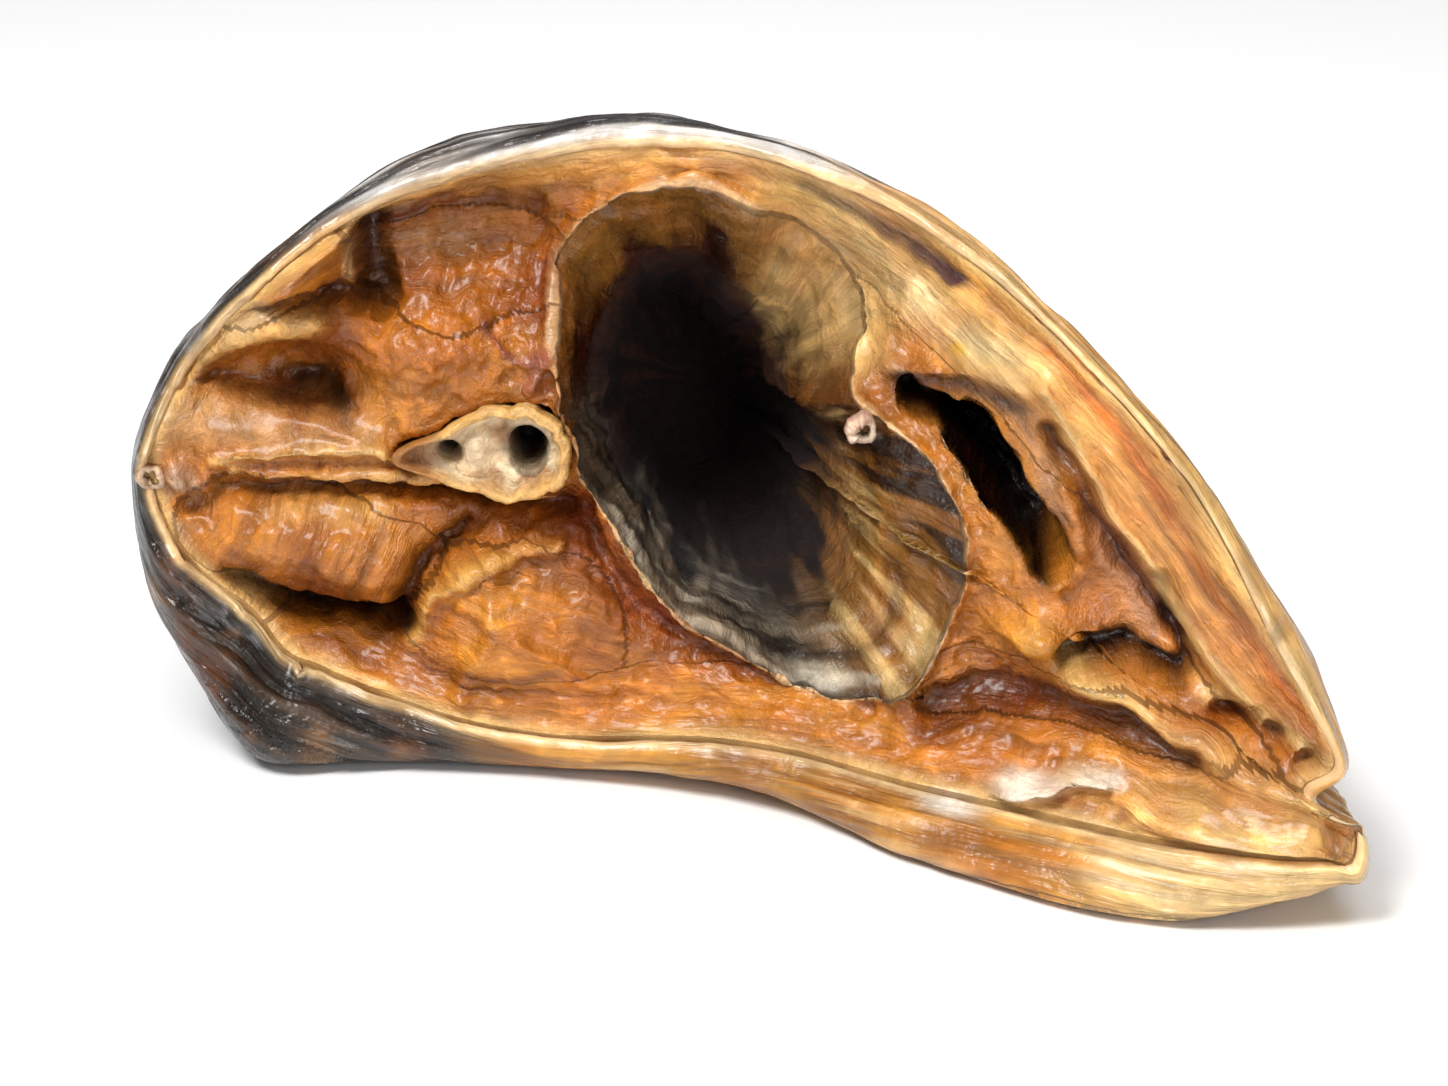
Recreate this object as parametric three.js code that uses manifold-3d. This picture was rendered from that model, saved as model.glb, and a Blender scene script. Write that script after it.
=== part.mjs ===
// A dried catfish steak: one cross-cut of a gutted catfish, dried until the cut flesh has sunk between
// its muscles and the skin has drawn in over the edges. It lies on its flank, with the fish's back towards
// -X, the belly towards +X, the larger cut facing -Y and the tail end towards +Y. Units are millimetres, +Z
// is up, and the origin is on the table under the middle of the piece.

import * as THREE from "three";
import { mergeVertices } from "three/addons/utils/BufferGeometryUtils.js";
import Module from "manifold-3d";

// Driving dimensions of the cross-section at the larger cut. A place on the section is given as
// [across, up]: millimetres from the edge of the back towards the belly, and millimetres above the table.
const bodyDepth = 107;
const backEdgeHeight = 26;
const bellyEdgeHeight = 7;
const upperBulge = 42.5;
const lowerBulge = 38;
const flankRoundness = 1.4;
const bellyFullness = 0.1;
const floorBlend = 3;
const arch = { place: 54, halfWidth: 16, height: 1 };
const bellySlit = { turn: 3.03, width: 0.07, depth: 4 };
const tipLift = { start: 86, height: 4, fade: 0.3 };

// The larger cut is slanted and leans back, and the belly flares forward out of it. The tail end is
// straighter.
const cutSkew = 0.12;
const cutLean = 0.15;
const bellyFlare = 0.5;
const flareStart = 55;
const flareBlend = 8;
const cutLength = 48;
const tailSkew = 0.18;

// How the body narrows on the way to the tail end.
const depthTaper = 0.14;
const thicknessTaper = 0.32;

// The skin draws in over both cut edges, towards a core line that runs between two shares of the body's
// depth. At the low corner beside the back, and along the lower belly, it folds forward over the cut.
const coreShares = [0.18, 0.85];
const coreBellyHeight = 18;
const edgeDrawIn = 2.4;
const edgeRunIn = 9.5;
const tailDrawIn = 3;
const tailRunIn = 6;
const skinFolds = [
  { name: "low corner", turn: 5.62, width: 0.42, depth: 7, forward: 11 },
  { name: "lower belly", turn: 4.15, width: 0.7, depth: 3, forward: 12 },
];
const skinLip = 1.2;
const skinLipWidth = 2.5;

// The body cavity: an oval mouth in the larger cut, bitten into by the wall beside a smaller pocket, that
// narrows towards the backbone and ends blind.
const cavityMouth = [56.2, 31.3];
const cavityHalfLength = 23;
const cavityHalfWidth = 15.3;
const cavityTilt = THREE.MathUtils.degToRad(-60);
const cavityBite = { direction: THREE.MathUtils.degToRad(25), width: 0.38, depth: 6 };
const cavityFloor = [51, 25];
const cavityFloorScale = 0.4;
const cavityFloorDepth = 37;
const cavityEndRounding = 0.25;

// The smaller pocket in the belly wall: a slim hollow beside the cavity's mouth.
const pocketPlace = [78, 30.3];
const pocketTilt = THREE.MathUtils.degToRad(-60);
const pocketHalf = { along: 9, aside: 3.4, deep: 15 };

// The backbone: a vertebra with a cone-shaped pit, its nerve canal, and the blade that runs to the back.
const bonePlace = [36.3, 30];
const vertebraRadius = 3.9;
const pitRadius = 2.6;
const pitDepth = 7;
const pitLead = 2;
const pitOffset = 0.7;
const canalPlace = [-6.6, -0.6];
const canalRadius = 1.1;
const canalWall = 0.9;
const bladeTip = [-23, -2.2];
const bladeThickness = 1.3;
const boneStandOut = 1.4;
const ringOpening = THREE.MathUtils.degToRad(130);
const boneClearance = 0.35;
const channelOverrun = 6;

// Muscles, creases and hollows of the larger cut. Each is a round or oval swell: a positive depth sinks
// into the flesh and a negative one stands out of it.
const cutSwells = [
  { name: "lobe above the back", at: [15, 43], half: [6, 5], tilt: 35, depth: -3.5 },
  { name: "hollow of the upper muscle", at: [33, 46], half: [8.5, 6], tilt: 8, depth: 6 },
  { name: "mound above the backbone", at: [26, 37], half: [7, 4], tilt: 0, depth: -2 },
  { name: "pocket behind the mound", at: [16.5, 34], half: [6, 3], tilt: 0, depth: 5 },
  { name: "crease to the back", at: [8, 34], half: [6, 2.6], tilt: 0, depth: 2.5 },
  { name: "pale pad on the back", at: [11, 29.5], half: [8, 3], tilt: 0, depth: -1.5 },
  { name: "long mound under the blade", at: [17, 19.5], half: [10, 5], tilt: -12, depth: -4 },
  { name: "crease under the long mound", at: [20, 13], half: [9, 3.6], tilt: -12, depth: 4 },
  { name: "round lower mound", at: [34.5, 13], half: [8, 6], tilt: 0, depth: -3.5 },
  { name: "valley between the mounds", at: [27.5, 18], half: [3, 5], tilt: 0, depth: 2 },
  { name: "hollow under the backbone", at: [37, 23.5], half: [8, 3], tilt: 0, depth: 2 },
  { name: "funnel above the cavity", at: [67, 42], half: [9, 9], tilt: -50, depth: 6 },
  { name: "furrow beside the cavity", at: [74, 16], half: [7, 4], tilt: -20, depth: 4 },
  { name: "hollow of the belly wall", at: [87, 24], half: [6, 4], tilt: -40, depth: 3 },
  { name: "slit of the belly wall", at: [89, 19.5], half: [6, 2.6], tilt: -20, depth: 3.5 },
  { name: "pit at the belly edge", at: [95.5, 15], half: [4, 3], tilt: 0, depth: 2.5 },
  { name: "lip of the lower belly flap", at: [82, 0], half: [20, 7], tilt: 0, depth: -8 },
  { name: "tip of the belly drawn back", at: [109, 4], half: [8, 9], tilt: 0, depth: 2.5 },
];

// The tail end is plain muscle, sunk between the skin and the backbone and parted along the middle.
const tailSink = 3.5;
const tailGroove = 2;
const tailGrooveWidth = 3;
const tailCentre = [47, 22];

// How finely the surface is divided: columns round the body, and rows in each stretch.
const columns = 96;
const cavityRows = 8;
const faceRows = 20;
const frontEdgeSteps = [0.8, 2.6, 5.6, edgeRunIn];
const flankRows = 6;
const tailEdgeSteps = [5, 2.2, 0.6, 0];
const tailRows = 6;
const pocketSegments = [20, 14];
const pitSides = 20;
const boneArcSteps = 9;
const weldDistance = 1e-3;

const lerp = THREE.MathUtils.lerp;
const clamp = THREE.MathUtils.clamp;
const swell = (distance, width) => Math.exp(-((distance / width) ** 2));

function levelAbove(height) {
  // A height that flattens onto the table without a step.
  if (height <= -floorBlend) return 0;
  return height >= floorBlend ? height : (height + floorBlend) ** 2 / (4 * floorBlend);
}

function sectionPoint(turn) {
  // The outline of the section: turn 0 is the edge of the back, a quarter turn the upper flank, a half turn
  // the belly edge and three quarters the lower flank.
  const share = (1 - Math.cos(turn)) / 2;
  const slit = bellySlit.depth * swell(turn - bellySlit.turn, bellySlit.width);
  const across = bodyDepth * share - slit;
  const middle = lerp(backEdgeHeight, bellyEdgeHeight, share);
  const side = Math.sin(turn);
  if (side >= 0) {
    const fullness = 1 - bellyFullness / 2 + bellyFullness * share;
    return [across, middle + upperBulge * side ** flankRoundness * fullness];
  }
  const underArch = arch.height * clamp(1 - ((across - arch.place) / arch.halfWidth) ** 2, 0, 1) ** 2;
  // The lower flank rises towards the tip of the belly, but meets the upper one at the belly edge itself.
  const towardsTip = clamp((across - tipLift.start) / (bodyDepth - tipLift.start), 0, 1) ** 2;
  const atTip = tipLift.height * towardsTip * THREE.MathUtils.smoothstep(-side, 0, tipLift.fade);
  return [across, levelAbove(middle + lowerBulge * side) + underArch + atTip];
}

function drawnIn(point, amount) {
  // A point of the outline moved towards the middle of the body.
  const share = clamp(point[0] / bodyDepth, ...coreShares);
  const core = [bodyDepth * share, lerp(backEdgeHeight, coreBellyHeight, share)];
  const reach = Math.hypot(core[0] - point[0], core[1] - point[1]);
  return [0, 1].map((i) => lerp(point[i], core[i], amount / reach));
}

function reliefAt([across, up]) {
  let depth = 0;
  for (const { at, half, tilt, depth: full } of cutSwells) {
    const angle = THREE.MathUtils.degToRad(tilt);
    const [x, z] = [across - at[0], up - at[1]];
    const along = x * Math.cos(angle) + z * Math.sin(angle);
    const aside = z * Math.cos(angle) - x * Math.sin(angle);
    depth += full * swell(Math.hypot(along / half[0], aside / half[1]), 1);
  }
  return depth;
}

function frontCut([across, up]) {
  const flare = flareBlend * Math.log(1 + Math.exp((across - flareStart) / flareBlend));
  return cutLean * up - cutSkew * (across - bonePlace[0]) - bellyFlare * flare;
}

const frontFace = (point) => frontCut(point) + reliefAt(point);
const tailCut = ([across, up]) => cutLength + cutLean * up - tailSkew * (across - bonePlace[0]);

function tapered([across, up], run) {
  // A point of the larger section carried back along the body: run 0 is the larger cut, run 1 the tail end.
  const narrow = lerp(bonePlace[0], across, 1 - depthTaper * run);
  return [narrow, up * (1 - thicknessTaper * run)];
}

function roundedEdge(distance, runIn) {
  // How much of an edge's draw-in is left at a distance from the cut, on a quarter circle.
  const share = clamp(1 - distance / runIn, 0, 1);
  return 1 - Math.sqrt(1 - share * share);
}

function foldAt(turn, amount) {
  // The depth or the forward reach of the skin's folds at one turn.
  return skinFolds.reduce((sum, fold) => sum + fold[amount] * swell(turn - fold.turn, fold.width), 0);
}

function flankPoint(turn, distance, length) {
  const outline = sectionPoint(turn);
  const front = (edgeDrawIn + foldAt(turn, "depth")) * roundedEdge(distance, edgeRunIn);
  const tail = tailDrawIn * roundedEdge(length - distance, tailRunIn);
  return tapered(drawnIn(outline, front + tail), distance / length);
}

function foldForward(turn, distance, length) {
  // How far a fold brings the flank forward of a straight run from the cut's edge.
  const unrolled = 1 - roundedEdge(distance, edgeRunIn);
  return foldAt(turn, "forward") * unrolled * (1 - distance / length);
}

function cavityPoint(direction, depth) {
  // The cavity's wall in a direction from its middle: depth 0 is the mouth and depth 1 the blind end.
  const angle = direction - cavityTilt;
  const oval = 1 / Math.hypot(Math.cos(angle) / cavityHalfLength, Math.sin(angle) / cavityHalfWidth);
  const bite = cavityBite.depth * swell(direction - cavityBite.direction, cavityBite.width) * (1 - depth);
  const closing = Math.sqrt(1 - clamp(1 - (1 - depth) / cavityEndRounding, 0, 1) ** 2);
  const size = (oval - bite) * lerp(1, cavityFloorScale, depth) * closing;
  const middle = [0, 1].map((i) => lerp(cavityMouth[i], cavityFloor[i], depth));
  return [middle[0] + size * Math.cos(direction), middle[1] + size * Math.sin(direction)];
}

function column(turn) {
  // One line of the surface from the blind end of the cavity, over the larger cut and the flank, to the
  // middle of the tail end.
  const outline = sectionPoint(turn);
  const tailRim = tapered(outline, 1);
  const rimStart = flankPoint(turn, 0, cutLength);
  const frontY = frontFace(rimStart);
  const length = tailCut(tailRim) - frontY;
  const direction = Math.atan2(rimStart[1] - cavityMouth[1], rimStart[0] - cavityMouth[0]);
  const mouth = cavityPoint(direction, 0);
  const mouthY = frontFace(mouth) + skinLip;
  const points = [];
  const add = ([across, up], y) => points.push(new THREE.Vector3(across, y, up));

  for (let row = 0; row < cavityRows; row++) {
    const depth = 1 - row / cavityRows;
    add(cavityPoint(direction, depth), lerp(mouthY, cavityFloorDepth, depth));
  }
  for (let row = 0; row < faceRows; row++) {
    const share = row / faceRows;
    const place = [0, 1].map((i) => lerp(mouth[i], rimStart[i], share));
    const toRim = (1 - share) * Math.hypot(rimStart[0] - mouth[0], rimStart[1] - mouth[1]);
    add(place, frontFace(place) + skinLip * (1 - swell(toRim, skinLipWidth)));
  }
  const tailSteps = tailEdgeSteps.map((step) => length - step);
  const middleStart = frontEdgeSteps.at(-1);
  const middleSteps = Array.from({ length: flankRows }, (_, row) =>
    lerp(middleStart, tailSteps[0], (row + 1) / (flankRows + 1)),
  );
  for (const distance of [0, ...frontEdgeSteps, ...middleSteps, ...tailSteps]) {
    add(flankPoint(turn, distance, length), frontY + distance - foldForward(turn, distance, length));
  }
  const tailEdge = flankPoint(turn, length, length);
  for (let row = 1; row <= tailRows; row++) {
    const share = row / tailRows;
    const place = [0, 1].map((i) => lerp(tailEdge[i], tailCentre[i], share));
    const groove = tailGroove * swell(place[1] - tailCentre[1], tailGrooveWidth) * share;
    add(place, tailCut(place) - tailSink * (1 - (1 - share) ** 2) - groove);
  }
  return points;
}

function mouldedBody() {
  // A sphere's net of rows and columns, moulded so that its poles become the end of the cavity and the
  // middle of the tail end.
  const rows = column(0).length - 1;
  const body = new THREE.SphereGeometry(1, columns, rows);
  const net = Array.from({ length: columns }, (_, index) => column((2 * Math.PI * index) / columns));
  const position = body.getAttribute("position");
  for (let row = 0; row <= rows; row++) {
    for (let index = 0; index <= columns; index++) {
      const { x, y, z } = net[(columns - index) % columns][row];
      position.setXYZ(row * (columns + 1) + index, x, y, z);
    }
  }
  splitAlongShorterDiagonals(body, rows);
  return body;
}

function splitAlongShorterDiagonals(body, rows) {
  // Each four-sided patch of the net is split so that the surface folds as little as it can.
  const position = body.getAttribute("position");
  const corner = (i) => new THREE.Vector3().fromBufferAttribute(position, i);
  const triangles = [];
  for (let row = 0; row < rows; row++) {
    for (let index = 0; index < columns; index++) {
      const b = row * (columns + 1) + index;
      const [a, c, d] = [b + 1, b + columns + 1, b + columns + 2];
      const alongAC = corner(a).distanceTo(corner(c)) < corner(b).distanceTo(corner(d));
      triangles.push(...(alongAC ? [a, b, c, a, c, d] : [a, b, d, b, c, d]));
    }
  }
  body.setIndex(triangles);
}

function boneOutline(clearance) {
  // The backbone's section round its own middle: the vertebra, the arch over the nerve canal, and the blade.
  const ring = vertebraRadius + clearance;
  const canalArch = canalRadius + canalWall + clearance;
  const blade = bladeThickness / 2 + clearance;
  const outline = new THREE.Shape();
  outline.moveTo(bladeTip[0] - clearance, bladeTip[1] + blade);
  outline.lineTo(canalPlace[0] - canalArch, canalPlace[1] + blade);
  outline.lineTo(canalPlace[0], canalPlace[1] + canalArch);
  outline.absarc(0, 0, ring, ringOpening, -ringOpening, true);
  outline.lineTo(canalPlace[0], canalPlace[1] - canalArch);
  outline.lineTo(canalPlace[0] - canalArch, canalPlace[1] - blade);
  outline.lineTo(bladeTip[0] - clearance, bladeTip[1] - blade);
  outline.closePath();
  return outline;
}

function boneRun(outline, standOut) {
  // An outline carried along the body from one cut to the other, standing out of both.
  const run = { depth: 1, bevelEnabled: false, curveSegments: boneArcSteps };
  const body = new THREE.ExtrudeGeometry(outline, run);
  const position = body.getAttribute("position");
  const over = standOut / cutLength;
  for (let i = 0; i < position.count; i++) {
    const share = lerp(1 + over, -over, position.getZ(i));
    const place = [bonePlace[0] + position.getX(i), bonePlace[1] + position.getY(i)];
    const tailPlace = [place[0], place[1] - bonePlace[1] * thicknessTaper];
    const y = lerp(frontCut(place), tailCut(tailPlace) - tailSink, share);
    position.setXYZ(i, place[0], y, lerp(place[1], tailPlace[1], share));
  }
  return body;
}

const wasm = await Module();
wasm.setup();

function solidOf(geometry) {
  const bare = geometry.clone();
  bare.deleteAttribute("normal");
  bare.deleteAttribute("uv");
  const merged = mergeVertices(bare, weldDistance);
  const corners = merged.index.array;
  const triVerts = [];
  for (let i = 0; i < corners.length; i += 3) {
    const [a, b, c] = corners.slice(i, i + 3);
    if (a !== b && b !== c && c !== a) triVerts.push(a, b, c);
  }
  return new wasm.Manifold(
    new wasm.Mesh({
      numProp: 3,
      vertProperties: merged.getAttribute("position").array,
      triVerts: new Uint32Array(triVerts),
    }),
  );
}

function geometryOf(solid) {
  const { vertProperties, triVerts } = solid.getMesh();
  const geometry = new THREE.BufferGeometry();
  geometry.setAttribute("position", new THREE.BufferAttribute(vertProperties, 3));
  geometry.setIndex(new THREE.BufferAttribute(triVerts, 1));
  geometry.computeVertexNormals();
  return geometry;
}

function pocketSolid() {
  const pocket = new THREE.SphereGeometry(1, ...pocketSegments);
  pocket.scale(pocketHalf.along, pocketHalf.deep, pocketHalf.aside);
  pocket.rotateY(-pocketTilt);
  return solidOf(pocket.translate(pocketPlace[0], frontFace(pocketPlace), pocketPlace[1]));
}

function fleshMesh() {
  const channel = boneRun(boneOutline(boneClearance), channelOverrun);
  const flesh = solidOf(mouldedBody()).subtract(solidOf(channel)).subtract(pocketSolid());
  const amber = new THREE.MeshStandardMaterial({ color: 0xb9733a, roughness: 0.5, metalness: 0 });
  const mesh = new THREE.Mesh(geometryOf(flesh), amber);
  mesh.name = "flesh";
  return mesh;
}

function pitSolid() {
  // The cone that points along the body from the middle of the vertebra's face.
  const length = pitDepth + pitLead;
  const pit = new THREE.ConeGeometry((pitRadius * length) / pitDepth, length, pitSides);
  const mouth = frontCut(bonePlace) - boneStandOut - pitLead;
  return solidOf(pit.translate(bonePlace[0] + pitOffset, mouth + length / 2, bonePlace[1]));
}

function backboneMesh() {
  const outline = boneOutline(0);
  const canal = new THREE.Path().absarc(canalPlace[0], canalPlace[1], canalRadius, 0, 2 * Math.PI, false);
  outline.holes.push(canal);
  const bone = solidOf(boneRun(outline, boneStandOut)).subtract(pitSolid());
  const cream = new THREE.MeshStandardMaterial({ color: 0xd9b483, roughness: 0.55, metalness: 0 });
  const mesh = new THREE.Mesh(geometryOf(bone), cream);
  mesh.name = "backbone";
  return mesh;
}

const steak = new THREE.Group();
steak.add(fleshMesh(), backboneMesh());
const box = new THREE.Box3().setFromObject(steak);
const middle = box.getCenter(new THREE.Vector3());
steak.position.set(-middle.x, -middle.y, -box.min.z);

const part = new THREE.Group();
part.add(steak);

export default part;
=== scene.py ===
import math

import bmesh
import bpy
import numpy as np
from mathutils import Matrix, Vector


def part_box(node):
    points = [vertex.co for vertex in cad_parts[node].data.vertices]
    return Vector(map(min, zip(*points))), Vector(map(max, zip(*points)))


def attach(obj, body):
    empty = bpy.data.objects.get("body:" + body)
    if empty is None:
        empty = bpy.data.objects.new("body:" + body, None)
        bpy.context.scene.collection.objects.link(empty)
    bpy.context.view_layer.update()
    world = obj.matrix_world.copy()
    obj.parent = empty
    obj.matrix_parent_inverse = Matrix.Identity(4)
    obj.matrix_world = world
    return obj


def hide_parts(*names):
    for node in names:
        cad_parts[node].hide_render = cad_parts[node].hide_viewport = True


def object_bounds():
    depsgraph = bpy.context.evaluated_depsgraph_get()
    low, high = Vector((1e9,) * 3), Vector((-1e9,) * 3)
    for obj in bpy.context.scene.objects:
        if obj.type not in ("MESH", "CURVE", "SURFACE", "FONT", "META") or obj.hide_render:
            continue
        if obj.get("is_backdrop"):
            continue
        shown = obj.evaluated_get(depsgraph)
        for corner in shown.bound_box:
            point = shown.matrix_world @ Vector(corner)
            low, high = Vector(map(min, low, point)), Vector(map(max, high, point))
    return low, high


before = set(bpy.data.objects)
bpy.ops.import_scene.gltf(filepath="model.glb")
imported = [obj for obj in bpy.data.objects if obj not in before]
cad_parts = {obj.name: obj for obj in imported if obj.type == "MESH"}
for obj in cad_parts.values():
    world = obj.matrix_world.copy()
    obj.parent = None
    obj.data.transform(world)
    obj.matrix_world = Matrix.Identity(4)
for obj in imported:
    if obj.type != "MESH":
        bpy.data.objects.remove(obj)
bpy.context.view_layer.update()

# A dried catfish steak. Shapes are worked out in millimetres on the body's own lines: across runs from the
# back's edge to the belly's edge, up from the table, and depth back from the larger cut to the tail end.
steak = {
    "depth": 107.0, "backHeight": 26.0, "bellyHeight": 7.0,     # the section's two edges
    "upperBulge": 42.5, "lowerBulge": 38.0, "roundness": 1.4, "bellyFullness": 0.1,
    "floorBlend": 3.0, "archAt": 54.0, "archHalf": 16.0, "archRise": 1.0,
    "slitTurn": 3.03, "slitWidth": 0.07, "slitDepth": 4.0, "tipFrom": 86.0, "tipRise": 4.0, "tipFade": 0.3,
    "length": 48.0, "cutLean": 0.15, "cutSkew": 0.12, "tailSkew": 0.18,
    "flare": 0.5, "flareFrom": 55.0, "flareBlend": 8.0,
    "depthTaper": 0.14, "heightTaper": 0.32,
    "coreShares": (0.18, 0.85), "coreBellyHeight": 18.0,
    "edgeDrawIn": 2.4, "edgeRunIn": 9.5, "tailDrawIn": 3.0, "tailRunIn": 6.0,
    "skinLip": 1.2, "skinLipWidth": 2.5,
    "tailSink": 3.5, "tailCentre": (47.0, 22.0), "bone": (36.3, 30.0),
}
skinFolds = [
    {"name": "low corner", "turn": 5.62, "width": 0.42, "depth": 7.0, "forward": 11.0},
    {"name": "lower belly", "turn": 4.15, "width": 0.7, "depth": 3.0, "forward": 12.0},
    {"name": "top of the larger cut", "turn": 1.15, "width": 0.3, "depth": 2.0, "forward": 0.0},
]
cavity = {
    "mouth": (56.2, 31.3), "halfLength": 23.0, "halfWidth": 15.3, "tilt": math.radians(-60),
    "biteAt": math.radians(25), "biteWidth": 0.38, "biteDepth": 6.0,
    "floor": (51.0, 25.0), "floorScale": 0.4, "floorDepth": 37.0, "endRounding": 0.25,
    "funnelRun": 0.2,    # how soon the wall has closed in on its inner opening, as a share of the depth
    "funnelFade": 0.7, "funnelAt": 58, "funnelBlend": (20, 36),    # the mouth's lip fades into the funnel
    "folds": (-58, 10), "lining": (-179, -59),    # directions of its folds and of its grey lining
    # near black deep in the cavity: painted shade, which the wall's washes fade into with depth
    "colour": "1c0a04",
}

# How far the wall closes in just behind the mouth, in a direction in degrees.
funnelIn = [(-180, 2.5), (-150, 1.2), (-110, 0.5), (-75, 2.0), (-45, 7.5), (-15, 8.5), (15, 6.0), (40, 8.0),
            (70, 8.0), (100, 7.0), (130, 5.0), (160, 3.0)]


def spot(name, at, half, tilt=0, power=2, **given):
    # a form about a place, as [across, up], with its half sizes and its tilt in degrees
    return {"name": name, "at": at, "half": half, "tilt": tilt, "power": power, **given}


def stroke(name, path, width, power=2, **given):
    # a form along a line of places
    return {"name": name, "path": path, "width": width, "power": power, **given}


# Broad forms of the larger cut, as [across, up]: a positive depth sinks in, a negative one stands out.
cutSwells = [
    spot("lobe above the back", (15, 43), (6, 5), tilt=35, depth=-3.5),
    spot("hollow of the upper muscle", (33, 46), (8.5, 6), tilt=8, depth=6),
    spot("mound above the backbone", (26, 37), (7, 4), depth=-2),
    spot("pocket behind the mound", (16.5, 34), (6, 3), depth=5),
    spot("crease to the back", (8, 34), (6, 2.6), depth=2.5),
    spot("pale pad on the back", (11, 29.5), (8, 3), depth=-1.5),
    spot("long mound under the blade", (17, 19.5), (10, 5), tilt=-12, depth=-4),
    spot("crease under the long mound", (20, 13), (9, 3.6), tilt=-12, depth=4),
    spot("round lower mound", (34.5, 13), (8, 6), depth=-3.5),
    spot("valley between the mounds", (27.5, 18), (3, 5), depth=2),
    spot("hollow under the backbone", (37, 23.5), (8, 3), depth=2),
    spot("funnel above the cavity", (67, 42), (9, 9), tilt=-50, depth=6),
    spot("furrow beside the cavity", (74, 16), (7, 4), tilt=-20, depth=4),
    spot("hollow of the belly wall", (87, 24), (6, 4), tilt=-40, depth=3),
    spot("slit of the belly wall", (89, 19.5), (6, 2.6), tilt=-20, depth=3.5),
    spot("pit at the belly edge", (95.5, 15), (4, 3), depth=2.5),
    spot("lip of the lower belly flap", (82, 0), (20, 7), depth=-8),
    spot("tip of the belly drawn back", (109, 4), (8, 9), depth=2.5),
]


def bell(distance, width):
    return np.exp(-((distance / width) ** 2))


def mix(a, b, share):
    return a + (b - a) * share


def smooth(low, high, value):
    share = np.clip((value - low) / (high - low), 0, 1)
    return share * share * (3 - 2 * share)


def cloud(points, size, octaves=4, seed=1):
    # seeded soft noise, about -1 to 1, with the largest lumps this many millimetres wide
    lattice = np.random.default_rng(seed).uniform(-1, 1, (32, 32, 32))
    turned = np.array([[0.36, 0.48, -0.8], [-0.8, 0.6, 0.0], [0.48, 0.64, 0.6]])
    total = np.zeros(points.shape[:-1])
    for octave in range(octaves):
        points = points @ turned
        place = points * (2 ** octave / size) + 5.7 * octave
        base = np.floor(place).astype(int)
        part = place - base
        part = part * part * (3 - 2 * part)
        for corner in np.ndindex(2, 2, 2):
            cell = (base + corner) % 32
            weight = np.prod(np.where(corner, part, 1 - part), axis=-1)
            total += 0.5 ** octave * weight * lattice[cell[..., 0], cell[..., 1], cell[..., 2]]
    return total


def alongPath(across, up, path):
    # millimetres along a path of straight pieces, and beside it
    along, aside = 0 * across, np.full(np.shape(across), 1e9)
    start = 0.0
    for (x0, z0), (x1, z1) in zip(path, path[1:]):
        dx, dz = x1 - x0, z1 - z0
        span = math.hypot(dx, dz)
        share = np.clip(((across - x0) * dx + (up - z0) * dz) / span ** 2, 0, 1)
        away = np.hypot(across - x0 - share * dx, up - z0 - share * dz)
        closer = away < np.abs(aside)
        along = np.where(closer, start + share * span, along)
        aside = np.where(closer, np.copysign(away, (up - z0) * dx - (across - x0) * dz), aside)
        start += span
    return along, aside


def slanted(x, z, degrees):
    # along a direction, and beside it
    angle = math.radians(degrees)
    return x * math.cos(angle) + z * math.sin(angle), z * math.cos(angle) - x * math.sin(angle)


def fromSpot(across, up, form):
    # how far from the middle of a spot, 1 at its half sizes
    along, aside = slanted(across - form["at"][0], up - form["at"][1], form["tilt"])
    return np.hypot(along / form["half"][0], aside / form["half"][1])


def formMask(across, up, form):
    if "path" in form:
        away = np.abs(alongPath(across, up, form["path"])[1]) / form["width"]
    else:
        away = fromSpot(across, up, form)
    return np.exp(-away ** form["power"])


def reliefOf(across, up, forms):
    return sum(form["depth"] * formMask(across, up, form) for form in forms)


def outlineAt(turn):
    # turn 0 is the back's edge, a quarter turn the upper flank, a half turn the belly's edge
    share = (1 - np.cos(turn)) / 2
    across = steak["depth"] * share - steak["slitDepth"] * bell(turn - steak["slitTurn"], steak["slitWidth"])
    middle = mix(steak["backHeight"], steak["bellyHeight"], share)
    side = np.sin(turn)
    fullness = 1 - steak["bellyFullness"] / 2 + steak["bellyFullness"] * share
    upper = middle + steak["upperBulge"] * np.clip(side, 0, 1) ** steak["roundness"] * fullness
    height = middle + steak["lowerBulge"] * side
    blend = steak["floorBlend"]
    lower = np.where(height >= blend, height, np.clip(height + blend, 0, None) ** 2 / (4 * blend))
    arch = np.clip(1 - ((across - steak["archAt"]) / steak["archHalf"]) ** 2, 0, 1) ** 2
    tip = np.clip((across - steak["tipFrom"]) / (steak["depth"] - steak["tipFrom"]), 0, 1) ** 2
    lower = lower + steak["archRise"] * arch + steak["tipRise"] * tip * smooth(0, steak["tipFade"], -side)
    return across, np.where(side >= 0, upper, lower)


def drawIn(across, up, amount):
    share = np.clip(across / steak["depth"], *steak["coreShares"])
    coreAcross = steak["depth"] * share
    coreUp = mix(steak["backHeight"], steak["coreBellyHeight"], share)
    part = amount / np.hypot(coreAcross - across, coreUp - up)
    return mix(across, coreAcross, part), mix(up, coreUp, part)


def taper(across, up, run):
    boneAcross = steak["bone"][0]
    return mix(boneAcross, across, 1 - steak["depthTaper"] * run), up * (1 - steak["heightTaper"] * run)


def frontCut(across, up):
    flare = steak["flareBlend"] * np.log1p(np.exp((across - steak["flareFrom"]) / steak["flareBlend"]))
    return steak["cutLean"] * up - steak["cutSkew"] * (across - steak["bone"][0]) - steak["flare"] * flare


def frontFace(across, up):
    return frontCut(across, up) + reliefOf(across, up, cutSwells)


def tailCut(across, up):
    return steak["length"] + steak["cutLean"] * up - steak["tailSkew"] * (across - steak["bone"][0])


def roundedEdge(distance, runIn):
    share = np.clip(1 - distance / runIn, 0, 1)
    return 1 - np.sqrt(1 - share * share)


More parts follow.
